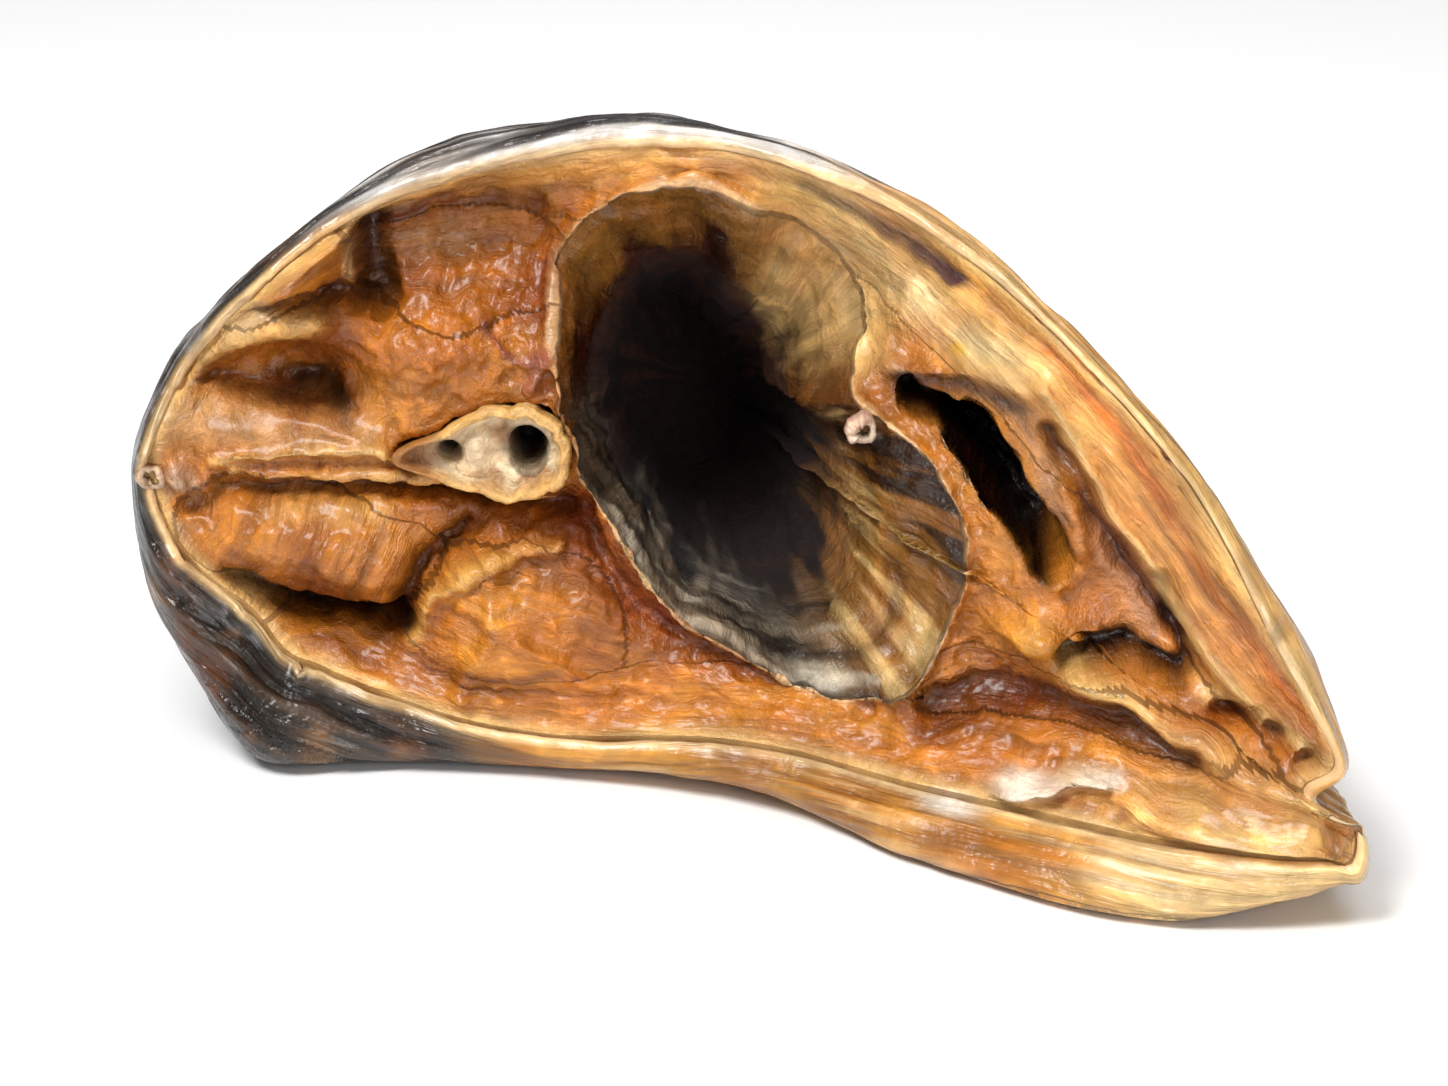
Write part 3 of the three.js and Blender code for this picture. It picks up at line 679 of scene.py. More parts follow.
faceWashes = [    # colours of the cut, in the order that they are laid on; the dark ones in creases, gaps, pockets, slits and holes are painted shade, and the highlight ones painted highlights
    spot("orange right half", (86, 24), (22, 24), power=4, tint=("d6913f", 0.8)),
    stroke("striped top band", [(22, 50.8), (31.8, 52), (40.8, 53.6), (47, 55), (54, 56.2), (60, 55.6)],
           2.4, tint=("efb765", 0.9)),
    spot("upper hollow", (30, 45.5), (9, 5), tint=("854406", 0.85)),
    # painted shade along the top of the upper hollow
    stroke("brown edge of the upper hollow", [(24, 48), (31, 48.4), (38, 49.4)], 1.1, tint=("5f2c09", 0.75)),
    spot("light in the upper hollow", (28.5, 45.4), (4.2, 1.7), tilt=6, tint=("dba468", 0.7)),
    spot("golden part of the upper hollow", (36.5, 46.4), (3.6, 2.2), tint=("cf8420", 0.7)),
    spot("lobe", (14.6, 45.4), (7.5, 4.8), tilt=28, power=6, tint=("dc9438", 0.85)),
    stroke("lobe's pale back", [(9.5, 42.5), (13, 46), (19, 49)], 0.9, tint=("f0c27a", 0.5)),
    stroke("lobe's pale edge", [(20.9, 50), (21.3, 46), (21.2, 43)], 0.5, tint=("f2c79c", 0.8)),
    stroke("brown streak of the lobe", [(11, 42.7), (16, 44.4), (20, 44.8)], 0.7, tint=("8f4a10", 0.7)),
    stroke("second streak of the lobe", [(12, 45), (16, 46.8), (20, 47.4)], 0.5, tint=("a65d18", 0.6)),
    stroke("shade beside the lobe", [(22.4, 48.6), (22.8, 45.6), (23.6, 41.6)], 1.4, tint=("3c1804", 0.85)),
    # painted shade in the gap under the lobe
    stroke("gap under the lobe", [(8, 39.5), (12.9, 41.2), (19, 41.9), (24, 41)], 0.9, tint=("5b2a08", 0.9)),
    stroke("grey top of the pale ridge", [(6.6, 37.2), (10, 38.6), (14, 39.9)], 1.3, tint=("dcc9b0", 0.85)),
    stroke("pale ridge", [(8, 36.2), (12.9, 38.4), (18.5, 39.4)], 1.1, tint=("f2c882", 0.9)),
    stroke("slope under the pale ridge", [(9, 34.6), (14, 35.6), (19, 35.4)], 1.2, tint=("b0651c", 0.7)),
    # painted shade: the pocket painted near black
    stroke("dark pocket", [(14.4, 32.7), (17.6, 32.4), (20.4, 31.6)], 1.1, tint=("240c02", 0.95)),
    # painted shade along the crease
    stroke("crease to the back", [(5, 33.4), (10.6, 33), (15, 32.6)], 0.6, tint=("86460f", 0.8)),
    stroke("pale pad", [(4.5, 31), (10, 30.2), (16, 29.6), (22, 29)], 1.9, power=3, tint=("cb9d6a", 0.92)),
    spot("mound over the backbone", (29, 38.5), (6.5, 4), tint=("cf8126", 0.7)),
    stroke("red by the cavity", [(37.8, 46.6), (38, 42), (37.8, 38), (37, 35.4)], 2.0, tint=("8a4622", 0.6)),
    stroke("first vein", [(32.5, 39.5), (34.8, 36.3), (38.6, 37.2)], 0.45, tint=("8d4a44", 0.7)),
    stroke("second vein", [(40, 42.1), (39.1, 37.9), (36.3, 34.9)], 0.55, tint=("b3766c", 0.7)),
    spot("dark knob above the ring", (39.6, 33.6), (1.1, 1.1), power=3, tint=("2c2426", 0.9)),
    stroke("between the blade's films", [(10, 26.3), (18.9, 27.2), (25, 27.4)], 0.9, tint=("c8812c", 0.7)),
    stroke("film above the blade", [(9, 26.9), (13, 27.8), (19, 28.3), (24.2, 28.5)],
           0.5, tint=("f5d294", 0.9)),
    stroke("film under the blade",
           [(11, 25.9), (18.9, 26.2), (24.2, 26.5), (29.5, 26.4), (34, 24.7), (38.6, 24.6)],
           0.5, tint=("efc480", 0.85)),
    # painted shade in the gutter under the blade's film
    stroke("gutter under the blade", [(10, 24.4), (18.9, 24.9), (26, 25.1), (33, 23.4), (39, 23.2)],
           0.7, tint=("6d330b", 0.75)),
    spot("brown behind the bits", (5, 25), (3.2, 2.4), power=3, tint=("8a4f20", 0.7)),
    spot("lilac bit at the back", (5.8, 25.6), (0.9, 1.5), tilt=20, power=3, tint=("d2bdb4", 0.85)),
    spot("third bit", (3.4, 23.2), (1.2, 0.8), power=3, tint=("e8c47c", 0.85)),
    spot("second lilac bit", (7, 24.6), (1.0, 0.8), tint=("c9aea6", 0.8)),
    stroke("long mound", [(7.6, 21), (12.9, 21.4), (18.9, 21), (25, 20)], 3.2, tint=("d9933f", 0.75)),
    # painted highlight on the long mound
    stroke("light on the long mound", [(13, 23), (19, 23.3), (24, 23.2)], 0.9, tint=("ecb76c", 0.65)),
    stroke("shade under the long mound", [(8, 18), (14, 17), (20, 15.8)], 1.4, tint=("8a450f", 0.6)),
    # painted shade in the crease under the long mound
    stroke("crease under the long mound", [(9.5, 16), (15.2, 14), (20.5, 12.8), (25.4, 13)],
           1.2, tint=("3a1804", 0.92)),
    spot("round lower mound", (35, 13), (7.5, 6), power=3, tint=("e89c3c", 0.88)),
    # painted highlight along the lower mound's edge
    stroke("light edge of the lower mound", [(25.9, 11.7), (28.2, 16.3), (33.3, 19.7), (39, 20.5)],
           0.55, tint=("f3c273", 0.75)),
    # painted shade in the valley beside the mound's edge
    stroke("valley beside that edge", [(24.6, 13.6), (26.6, 17.8), (31.4, 21.4)], 0.9, tint=("6d330b", 0.7)),
    stroke("red strip along the cavity", [(39.8, 24.2), (42.3, 19.6), (45.3, 15.6), (50, 12.6), (57, 10.8)],
           2.0, tint=("8c3f17", 0.8)),
    stroke("lower face", [(30, 6.5), (45, 7.5), (60, 8), (70, 8)], 2.8, tint=("de9538", 0.75)),
    stroke("line on the lower face", [(27, 9.5), (34, 9), (41, 9.4)], 0.4, tint=("84420f", 0.6)),
    stroke("furrow of the lower flap", [(71, 10.3), (79.3, 12.8), (86.9, 13.4), (92, 11.6)],
           2.0, tint=("863d0c", 0.85)),
    stroke("flap under the furrow", [(64, 6), (74, 8), (84, 10.4)], 1.2, tint=("d98a35", 0.7)),
    # painted highlight along the edge of the lower flap
    stroke("white edge of the flap", [(70, 4.6), (74, 5.2), (78.9, 7.2), (84.6, 8.8)],
           0.6, tint=("fbeed8", 0.95)),
    stroke("pale belly band",
           [(59, 53), (69.5, 46.4), (77, 41.4), (84, 36), (90, 29), (96, 22.5), (101, 17.5)],
           3.0, tint=("f3c681", 0.85)),
    stroke("salmon belly wall", [(85, 35), (88.6, 29), (94, 22.5), (100, 16.6)], 2.0, tint=("de954f", 0.6)),
    stroke("purple stain under the rim", [(60.5, 53.4), (64, 51.8), (68, 49.6), (73, 46.8)],
           1.0, power=3, tint=("4a1f26", 1.1)),
    stroke("light beside the funnel", [(63, 49.2), (68, 45.2), (73, 41.8), (77, 40.6)],
           2.0, tint=("fff0cc", 0.75)),
    stroke("orange stripe of the belly wall",
           [(80, 42.6), (86, 37.2), (89.6, 31.4), (93.6, 25.4), (98.6, 19.4), (102, 15.2)],
           0.8, tint=("cf7119", 0.75)),
    spot("yellow speck", (72.5, 40.7), (0.9, 0.5), tint=("f8cc62", 0.85)),
    stroke("roof of the side pocket", [(68, 37.2), (73, 37.8), (78, 37.2)], 1.1, tint=("35160f", 0.88)),
    # painted shade: the side pocket and its neck painted near black
    stroke("neck of the side pocket", [(69.2, 36), (71.6, 35.4), (74.4, 33.8)],
           1.2, power=5, tint=("140705", 1.0)),
    stroke("side pocket", [(73.8, 34), (76, 31.8), (78.4, 28.6), (80.6, 25)],
           2.3, power=10, tint=("060201", 1.3)),
    stroke("grey flap in the side pocket", [(78.4, 35.6), (80.6, 33), (81.6, 29)],
           1.1, tint=("a27d69", 0.8)),
    stroke("amber edge", [(82.2, 31.5), (83.2, 26.4), (81.6, 23)], 0.8, tint=("eda03a", 0.85)),
    spot("amber nub", (79, 18.9), (3, 1.7), tint=("f5b44c", 0.92)),
    stroke("pink film", [(84.2, 28), (86.6, 23.8), (88.8, 21)], 1.7, tint=("d3a286", 0.8)),
    # painted shade in the slits and in the trench below
    stroke("slit", [(82, 17.7), (86.9, 18.3), (91.6, 17.5)], 0.8, tint=("2a1004", 0.92)),
    stroke("upper slit", [(89.3, 24.6), (91.2, 21.2), (92.6, 18.2)], 0.7, tint=("3d1a08", 0.88)),
    stroke("trench inside the belly wall", [(80.6, 35.6), (83.6, 29.6), (87.4, 24.6), (91, 20.4)],
           0.8, tint=("6b3322", 0.85)),
    stroke("inner edge of the belly wall",
           [(79.5, 39.4), (82.4, 35.6), (85.4, 29.8), (89, 25), (92.8, 20.4), (96.4, 16.8)],
           0.5, tint=("fbdda8", 0.9)),
    spot("pale flap at the tip", (95, 6.4), (9, 3.2), tilt=-6, power=3, tint=("fcdc98", 0.92)),
    # painted shade in the pits
    stroke("pits at the tip", [(94.4, 15), (98, 14.5), (101, 13)], 1.2, tint=("984f14", 0.75)),
    stroke("pale wall of the pits", [(93.5, 16.6), (97, 15.9), (100, 14.6), (103, 13.2)],
           0.8, tint=("f8dba2", 0.85)),
    # painted shade in the hole
    spot("hole at the tip", (103.4, 12), (1, 0.9), tint=("72350c", 0.85)),
    stroke("ridge to the tip", [(82.3, 16.4), (88.4, 14.2), (95.2, 11.2), (101.2, 10)],
           1.1, tint=("f8d08e", 0.9)),
]

cavityWashes = [    # by the direction of the wall in degrees, and by how far in it reaches; deeper in they give way to painted shade
    {"name": "red-brown depths", "from": 20, "to": 200, "reach": 0.55, "tint": ("4c240f", 0.85)},
    {"name": "tan left wall", "from": 140, "to": 190, "reach": 0.1, "tint": ("8f5f2c", 0.9)},
    {"name": "olive roof", "from": 78, "to": 145, "reach": 0.17, "tint": ("9a6f36", 0.9)},
    {"name": "cream funnel", "from": 34, "to": 84, "reach": 0.25, "tint": ("dfbd88", 0.97)},
    {"name": "brown below the funnel", "from": -12, "to": 36, "reach": 0.5, "tint": ("6b431d", 0.9)},
    {"name": "grey lining", "from": -185, "to": -60, "reach": 0.34, "tint": ("787371", 0.95)},
    {"name": "olive folds", "from": -66, "to": -8, "reach": 0.4, "tint": ("96692f", 0.9)},
]


def flankNet(turn, startDepth, distance, length):
    across, up = flankAt(turn, distance, length)
    return asPoints(across, startDepth + distance - foldForward(turn, distance, length), up)


def softened(layer, reach):
    # mean over neighbouring columns of a closed net; normals that part come out shorter
    ring = layer[:, :-1]
    total = sum(np.roll(ring, step, axis=1) for step in range(-reach, reach + 1)) / (2 * reach + 1)
    return np.concatenate([total, total[:, :1]], axis=1)


def runAlong(net):
    # millimetres along the surface from the first row
    steps = np.linalg.norm(np.diff(net, axis=0), axis=-1)
    return np.concatenate([np.zeros((1, net.shape[1])), np.cumsum(steps, axis=0)])


def tucked(bare, inset):
    # a net of the skin moved inwards
    return bare - inset[..., None] * softened(netNormals(bare), 9)


def warped(flat, look, toRim, seed):
    # where forms and colours are looked up, moved about so that they look grown, but not at the rim
    amount = look["warp"] * smooth(0, 3, toRim)
    across = flat[..., 0] + amount * cloud(flat, look["warpSize"], 3, seed=seed)
    return across, flat[..., 2] + amount * cloud(flat, look["warpSize"], 3, seed=seed + 1)


def roughened(points, look, seed):
    # long waves and a crumpled film
    crumple = 0.6 - np.abs(cloud(points, look["crumpleSize"], 4, seed=seed + 1)) * 2
    return look["wave"] * cloud(points, look["waveSize"], 3, seed=seed) + look["crumple"] * crumple


def webAt(flat, seed):
    # a fine net of ridges
    return 0.5 - np.abs(cloud(flat, 1.7, 3, seed=seed)) * 2


def glintsAt(flat, seed):
    # bright specks laid on the colour: painted highlights
    return smooth(0.45, 0.95, cloud(flat, 1.6, 3, seed=seed))


def lightened(colour, amount):
    # lighter and yellower, or darker and redder
    return colour * (1 + amount[..., None] * np.array([0.8, 1.0, 1.25])).clip(0.35, 2)


def plainColour(code, shape):
    return np.broadcast_to(shade(code), shape).copy()


def paintMuscle(flat, mottle, washes, across, up):
    # the flesh's own colour in darker and lighter patches, and washes broken up over it
    colour = layOn(plainColour(flesh["colour"], flat.shape),
                   (fleshTints["dark"], smooth(0.0, 0.9, mottle)),
                   (fleshTints["light"], smooth(0.0, 0.9, -mottle)))
    for wash in washes:
        broken = 1 + 0.35 * cloud(flat, 2.5, 3, seed=len(wash["name"]))    # differs from wash to wash
        colour = layOn(colour, (wash["tint"], formMask(across, up, wash) * broken))
    return colour


def flapLevel(across, up):
    # how far the lower flap meets the skin level
    return 0.8 * smooth(50, 64, across) * smooth(24, 15, up)


def fromSector(degrees, low, high):
    # how far outside a sector of directions
    return np.abs((degrees - (low + high) / 2 + 180) % 360 - 180) - (high - low) / 2


def fibresAt(across, up):
    relief, light = 0 * across, 0 * across
    lines = asPoints(across * 0.5, up * 0.5, 0.0)
    strongest = 0.25 + 0 * across
    for index, fibre in enumerate(fibres):
        if "grain" in fibre:
            along, aside = slanted(across, up, fibre["grain"])
        else:
            along, aside = alongPath(across, up, fibre["path"])
        strands = cloud(asPoints(aside, along * 0.14, 0.0), fibre["size"], 3, seed=110 + index)
        mask = formMask(across, up, fibre)
        relief = relief - fibre["depth"] * mask * strands
        light = light + fibre["light"] * mask * strands
        ownLines = asPoints(aside * 1.1, along * 0.13, 7.0 * index)
        lines = np.where((mask > strongest)[..., None], ownLines, lines)
        strongest = np.maximum(strongest, mask)
    return relief, light, lines


def cutFace(direction, ragged, rimAcross, rimUp):
    # the larger cut, from the cavity's mouth to the rim, with rows closer at both
    mouthAcross, mouthUp = cavityAt(direction, 0.0, ragged)
    span = np.hypot(rimAcross - mouthAcross, rimUp - mouthUp)
    share = closerAtEnds(np.linspace(0, 1, flesh["faceRows"] + 1), flesh["rowsToEnds"])[:, None]
    across, up = mix(mouthAcross, rimAcross, share), mix(mouthUp, rimUp, share)
    fromMouth, toRim = span * share, span * (1 - share)
    flat = asPoints(across, 0.0, up)
    place = warped(flat, flesh, toRim, seed=5)
    fine = reliefOf(*place, fineForms + whiteBits)
    fibreRelief, fibreLight, fibreLines = fibresAt(*place)
    lipped = smooth(*cavity["funnelBlend"], np.abs(np.degrees(direction) - cavity["funnelAt"]))
    lip = -flesh["mouthLip"] * lipped * bell(fromMouth, flesh["mouthLipWidth"])
    funnel = flesh["funnelRounding"] * (1 - lipped) * bell(fromMouth, flesh["funnelEdge"])
    rimRise = steak["skinLip"] * (1 - bell(toRim, steak["skinLipWidth"])) * (1 - flapLevel(across, up))
    seat = bone["seat"] * boneMask(across, up, 0.0)
    y = frontFace(across, up) + rimRise + (fine + fibreRelief + lip + funnel) * smooth(0, 1.2, toRim) + seat
    web = webbedMound["depth"] * formMask(across, up, webbedMound) * webAt(flat, seed=12)
    calm = smooth(0, 1.5, toRim)
    for form in calmSpots:
        calm = calm * (1 - form["calm"] * formMask(across, up, form))
    return {"net": asPoints(across, y, up), "place": place, "flat": flat, "fromMouth": fromMouth,
            "toRim": toRim, "fine": fine, "light": fibreLight, "lines": fibreLines, "lipped": lipped,
            "web": web, "calm": calm, "mottle": cloud(flat, flesh["mottleSize"], 5, seed=21)}


def fleshFlank(turn, startDepth, length):
    # inside the skin, as far as the slab of the tail end
    way = [step + 0 * length for step in flesh["flankSteps"]]
    way += [share * length for share in flesh["flankShares"]]
    way = np.array([*way, length - flesh["flankEnd"]])
    bare = flankNet(turn, startDepth, way, length)
    return tucked(bare, mix(flesh["underSkin"], flesh["deepUnderSkin"], smooth(0.2, 1.6, runAlong(bare))))[1:]


def buildFlesh():
    turn = evenTurns(flesh["columns"])
    startDepth, length = bodyLines(turn)
    rimAcross, rimUp = flankAt(turn, 0.0, length, flesh["underSkin"])
    direction = np.arctan2(rimUp - cavity["mouth"][1], rimAcross - cavity["mouth"][0])
    ragged = flesh["mouthRagged"] * cloud(onCircle(direction, 15), 4.0, 4, seed=3)
    cut = cutFace(direction, ragged, rimAcross, rimUp)

    # the cavity's wall, from its blind end out to the mouth
    depth = np.linspace(1, 0, flesh["cavityRows"] + 1)[:-1, None]
    depth = mix(depth, depth ** 2, flesh["rowsToMouth"])
    wallAcross, wallUp = cavityAt(direction, depth, ragged * (1 - depth))
    wall = asPoints(wallAcross, mix(cut["net"][0, :, 1], cavity["floorDepth"], depth), wallUp)

    # under the skin, and closed behind the cavity
    flank = fleshFlank(turn, startDepth, length)
    middle = steak["tailCentre"]
    pole = np.array([middle[0], tailCut(*middle) - tailEnd["closedAt"], middle[1]])
    closing = mix(flank[-1], pole, np.array([0.5, 1.0])[:, None, None])
    points = np.concatenate([wall, cut["net"], flank, closing])
    closeSeam(points)
    wallRows, cutRows = slice(0, len(wall)), slice(len(wall), len(wall) + len(cut["net"]))

    # folds of the cavity's wall, and the crumpled surface of the cut
    raised = roughened(points, flesh, seed=8)
    raised[cutRows] += cut["web"]
    wallPlace = asPoints(np.cos(direction) * 15, np.sin(direction) * 15, depth * 9)
    folded = 1 + 0.3 * smooth(14, -6, fromSector(np.degrees(direction), *cavity["folds"]))
    folds = cloud(wallPlace * np.array([1, 1, 0.5]), 6.0, 2, seed=10)
    raised[wallRows] += flesh["cavityFold"] * folded * folds * smooth(0, 0.06, depth) * smooth(1, 0.7, depth)
    calm = np.zeros(points.shape[:2])
    calm[1:len(wall)] = 1
    calm[cutRows] = cut["calm"]
    points += netNormals(points) * (raised * calm)[..., None]
    closeSeam(points)

    colour = plainColour(flesh["colour"], points.shape)
    colour[cutRows] = paintCut(cut)
    colour[wallRows] = paintCavity(direction, depth, wallPlace)
    colour *= np.array(flesh["tone"])
    # the white bits are fat painted white, partly as painted highlights
    fatAndHighlight = [(fleshTints["fatAndHighlight"], formMask(*cut["place"], bit)) for bit in whiteBits]
    colour[cutRows] = layOn(colour[cutRows], *fatAndHighlight)
    gloss = np.full(points.shape[:2], flesh["gloss"])
    gloss[cutRows] += 0.1 * np.clip(cut["mottle"], -1, 1)
    gloss[wallRows] = mix(flesh["gloss"], flesh["cavityGloss"], smooth(0.2, 0.45, depth))
    grain = points * 0.4
    grain[cutRows] = cut["lines"]
    wallGrain = wallPlace * np.array([0.9, 0.9, 0.6])
    grain[wallRows] = mix(wallGrain, grain[wallRows], smooth(0.25, 0.5, depth)[..., None])
    mouldNet("flesh_body", points, colour, gloss, grain, fleshMaterial, "flesh")


def paintCut(cut):
    across, up = cut["place"]
    flat, fromMouth, toRim, lipped = cut["flat"], cut["fromMouth"], cut["toRim"], cut["lipped"]
    colour = paintMuscle(flat, cut["mottle"], faceWashes, across, up)
    rimStreaks = cloud(asPoints(toRim, across * 0.1, up * 0.1), 1.2, 3, seed=23) * smooth(6, 2, toRim)
    colour = lightened(colour, cut["light"] + 0.5 * glintsAt(flat, seed=24) + 0.4 * rimStreaks)
    broken = 0.8 + 0.4 * cloud(flat, 3.0, 3, seed=25)
    # the hollows of the fine forms darkened with the deep tint: painted shade
    return layOn(colour, (fleshTints["deep"], smooth(0.8, 4, cut["fine"])),
                 (fleshTints["mouthEdge"], bell(fromMouth, 0.32) * lipped * broken),
                 (fleshTints["funnelEdge"], bell(fromMouth, 4.5) * (1 - lipped)),
                 (fleshTints["rim"], bell(toRim, 0.9)))


def paintCavity(direction, depth, wallPlace):
    degrees = np.degrees(direction)
    # the cavity's near-black colour stands for the shade deep inside it: painted shade
    colour = plainColour(cavity["colour"], wallPlace.shape)
    streaks = cloud(wallPlace, 3.0, 4, seed=31)
    for wash in cavityWashes:
        away = fromSector(degrees, wash["from"], wash["to"])
        reach = wash["reach"] * (1 + 0.6 * streaks)
        mask = smooth(12, -8, away + 6 * streaks) * smooth(reach * 1.5, reach * 0.6, depth)
        colour = layOn(colour, (wash["tint"], mask))
    # the glossy lining painted as a sheen: light streaks are painted highlights, dark streaks between them
    # painted shade
    lining = smooth(12, -8, fromSector(degrees, *cavity["lining"])) * smooth(0.5, 0.25, depth)
    paintedSheen = cloud(asPoints(depth * 60, np.cos(direction) * 5, np.sin(direction) * 5), 2.4, 3, seed=32)
    # black stripes in the folds are painted shade between them; the cream stripes are the folds' own colour
    folds = smooth(14, -6, fromSector(degrees, *cavity["folds"])) * smooth(0.4, 0.2, depth)
    strands = cloud(wallPlace * np.array([1, 1, 0.35]), 1.8, 3, seed=33)
    colour = layOn(colour, (cavityTints["liningHighlight"], lining * smooth(0.2, 0.8, paintedSheen)),
                   (cavityTints["liningSheenShade"], lining * smooth(0.15, 0.7, -paintedSheen)),
                   (cavityTints["foldShade"], folds * smooth(0.1, 0.5, strands)),
                   (cavityTints["lightFold"], folds * smooth(0.15, 0.6, -strands)))
    arcs = cloud(asPoints(depth * 70, np.cos(direction) * 3, np.sin(direction) * 3), 3.0, 3, seed=34)
    uneven = (0.35 * streaks + 0.45 * arcs) * smooth(0.75, 0.4, depth)
    return colour * np.clip(1 + uneven[..., None], 0.25, 1.5)


# The tail end: a slab of its own behind the flesh, cut across the muscle's blocks round the backbone.
tailEnd = {
    "columns": 460, "rows": 84, "rowsToEnds": 0.3, "flankSteps": (7, 4.5, 2.5, 1.2, 0.5, 0.15, 0),
    "underSkin": 0.4, "deepUnderSkin": 1.9, "closedAt": 8.0, "overlap": 1.0, "warp": 2.4, "warpSize": 11.0,
    "swell": 1.0, "seam": 1.5, "seamWidth": 0.09, "layer": 0.4, "layerSize": 1.5, "wave": 0.6,
    "waveSize": 6.0, "crumple": 0.32, "crumpleSize": 2.2, "web": 0.3, "mottleSize": 7.0,
}
tailTints = {"seam": ("4b2007", 0.85), "film": ("f2d19a", 0.7)}
tailBlocks = [    # blocks of muscle, and the direction of their grain in degrees
    spot("upper back", (20, 25), (11, 7), tilt=32, grain=24),
    spot("upper flank", (46, 30), (19, 6), tilt=-4, grain=-10),
    spot("far upper belly", (75, 20.5), (14, 5.5), tilt=-30, grain=-34),
    spot("belly edge", (88, 8), (8, 5), tilt=-20, grain=-16),
    spot("lower flank", (57, 7), (24, 6), grain=4),
    spot("lower back", (20, 9), (13, 6.5), tilt=-8, grain=-12),
    spot("under the backbone", (56, 18.5), (13, 3.8), tilt=-9, grain=50),
    spot("round the backbone", (32, 19.6), (11, 5), tilt=2, grain=8),
]
tailWashes = [    # colours of the tail end, in the order that they are laid on
    spot("red-brown round the backbone", (34, 20), (12, 7), power=3, tint=("8f4a18", 0.7)),
    spot("red-brown under it", (54, 18.5), (11, 3.6), tilt=-9, power=3, tint=("88431a", 0.65)),
    stroke("orange upper flank", [(28, 31), (44, 33), (58, 30)], 3.4, tint=("d88f38", 0.75)),
    stroke("pale back", [(11, 20), (15, 25), (22, 29)], 2.4, tint=("e6b571", 0.75)),
    stroke("golden belly", [(68, 24), (78, 18.6), (88, 10)], 3.6, tint=("eab865", 0.8)),
    spot("pale belly edge", (89, 7), (6, 4), tint=("f4d59a", 0.85)),
    stroke("orange lower flank", [(38, 6.5), (54, 8), (72, 6.5)], 3.4, tint=("cf8330", 0.7)),
    stroke("light on the lower back", [(13, 9), (22, 11), (30, 9)], 1.6, tint=("e2aa62", 0.65)),
]
tailForms = [    # hollows and films that are shaped and coloured; the hollows and the gap are painted dark as shade
    spot("end of the body cavity", (52, 19), (4.5, 1.5), tilt=-10, power=4,
         depth=3.6, tint=("150806", 0.95)),
    stroke("pale film round it", [(46, 21.4), (52, 21.6), (58, 19.6), (59, 17.2), (53, 16.4), (47, 18)],
           0.45, depth=-0.8, tint=("efd2a0", 0.8)),
    stroke("film to the back", [(9, 17.6), (16, 18.8), (24, 19.4)], 0.5, depth=-1.2, tint=("f4d598", 0.9)),
    stroke("gap beside that film", [(10, 16.2), (16, 17.3), (24, 17.8)],
           0.8, depth=2.0, tint=("3a1805", 0.85)),
    spot("hollow above the backbone", (34, 25.2), (6, 1.6), tilt=4, power=3,
         depth=2.2, tint=("4a2008", 0.8)),
]


def layersAt(across, up):
    # the grain of each block of muscle, and how close the next block is
    nearest, second = np.full(across.shape, 9.0), np.full(across.shape, 9.0)
    strands, lines = 0 * across, np.zeros((*across.shape, 3))
    for index, block in enumerate(tailBlocks):
        away = fromSpot(across, up, block)
        along, aside = slanted(across - block["at"][0], up - block["at"][1], block["grain"])
        own = asPoints(aside, 0.16 * along, 9.0 * index)
        closer = away < nearest
        second = np.where(closer, nearest, np.minimum(second, away))
        strands = np.where(closer, cloud(own, tailEnd["layerSize"], 3, seed=120 + index), strands)
        lines = np.where(closer[..., None], own, lines)
        nearest = np.minimum(nearest, away)
    return nearest, second - nearest, strands, lines


def tailFace(edge):
    # the smaller cut, from its edge to its middle
    middle = steak["tailCentre"]
    share = closerAtEnds(np.linspace(0, 1, tailEnd["rows"] + 1)[1:, None], tailEnd["rowsToEnds"])
    across, up = mix(edge[:, 0], middle[0], share), mix(edge[:, 2], middle[1], share)
    toRim = share * np.hypot(edge[:, 0] - middle[0], edge[:, 2] - middle[1])
    flat = asPoints(across, 0.0, up)
    place = warped(flat, tailEnd, toRim, seed=45)
    nearest, gap, strands, lines = layersAt(*place)
    parted = smooth(-0.35, 0.45, cloud(flat, 11.0, 3, seed=40))    # where neighbouring blocks have come apart
    seam = bell(gap, tailEnd["seamWidth"]) * (0.15 + 0.85 * parted)
    strands = strands * smooth(0.0, 0.3, gap)
    fine = reliefOf(*place, tailForms) + tailEnd["seam"] * seam - tailEnd["layer"] * strands
    fine = (fine - tailEnd["swell"] * np.clip(1 - nearest ** 2, 0, 1)) * smooth(0, 1.5, toRim)
    y = tailCut(across, up) - steak["tailSink"] * (1 - (1 - share) ** 2) - fine
    y = y - bone["seat"] * boneMask(across, up, bone["lowered"])
    return {"net": asPoints(across, y, up), "place": place, "flat": flat, "toRim": toRim, "gap": gap,
            "parted": parted, "strands": strands, "lines": lines,
            "mottle": cloud(flat, tailEnd["mottleSize"], 5, seed=42)}


def paintTail(cut):
    colour = paintMuscle(cut["flat"], cut["mottle"], tailWashes, *cut["place"])
    parted, gap = cut["parted"], cut["gap"]
    filmed = smooth(0.2, 0.9, cut["mottle"] + parted)
    forms = [(form["tint"], formMask(*cut["place"], form)) for form in tailForms]
    colour = layOn(colour, (tailTints["seam"], bell(gap, 0.07) * (0.2 + 0.8 * parted)),
                   (tailTints["film"], bell(gap - 0.15, 0.05) * filmed), *forms)
    colour = lightened(colour, 0.4 * cut["strands"] + 0.45 * glintsAt(cut["flat"], seed=49))
    return layOn(colour, (fleshTints["rim"], bell(cut["toRim"], 1.0)))


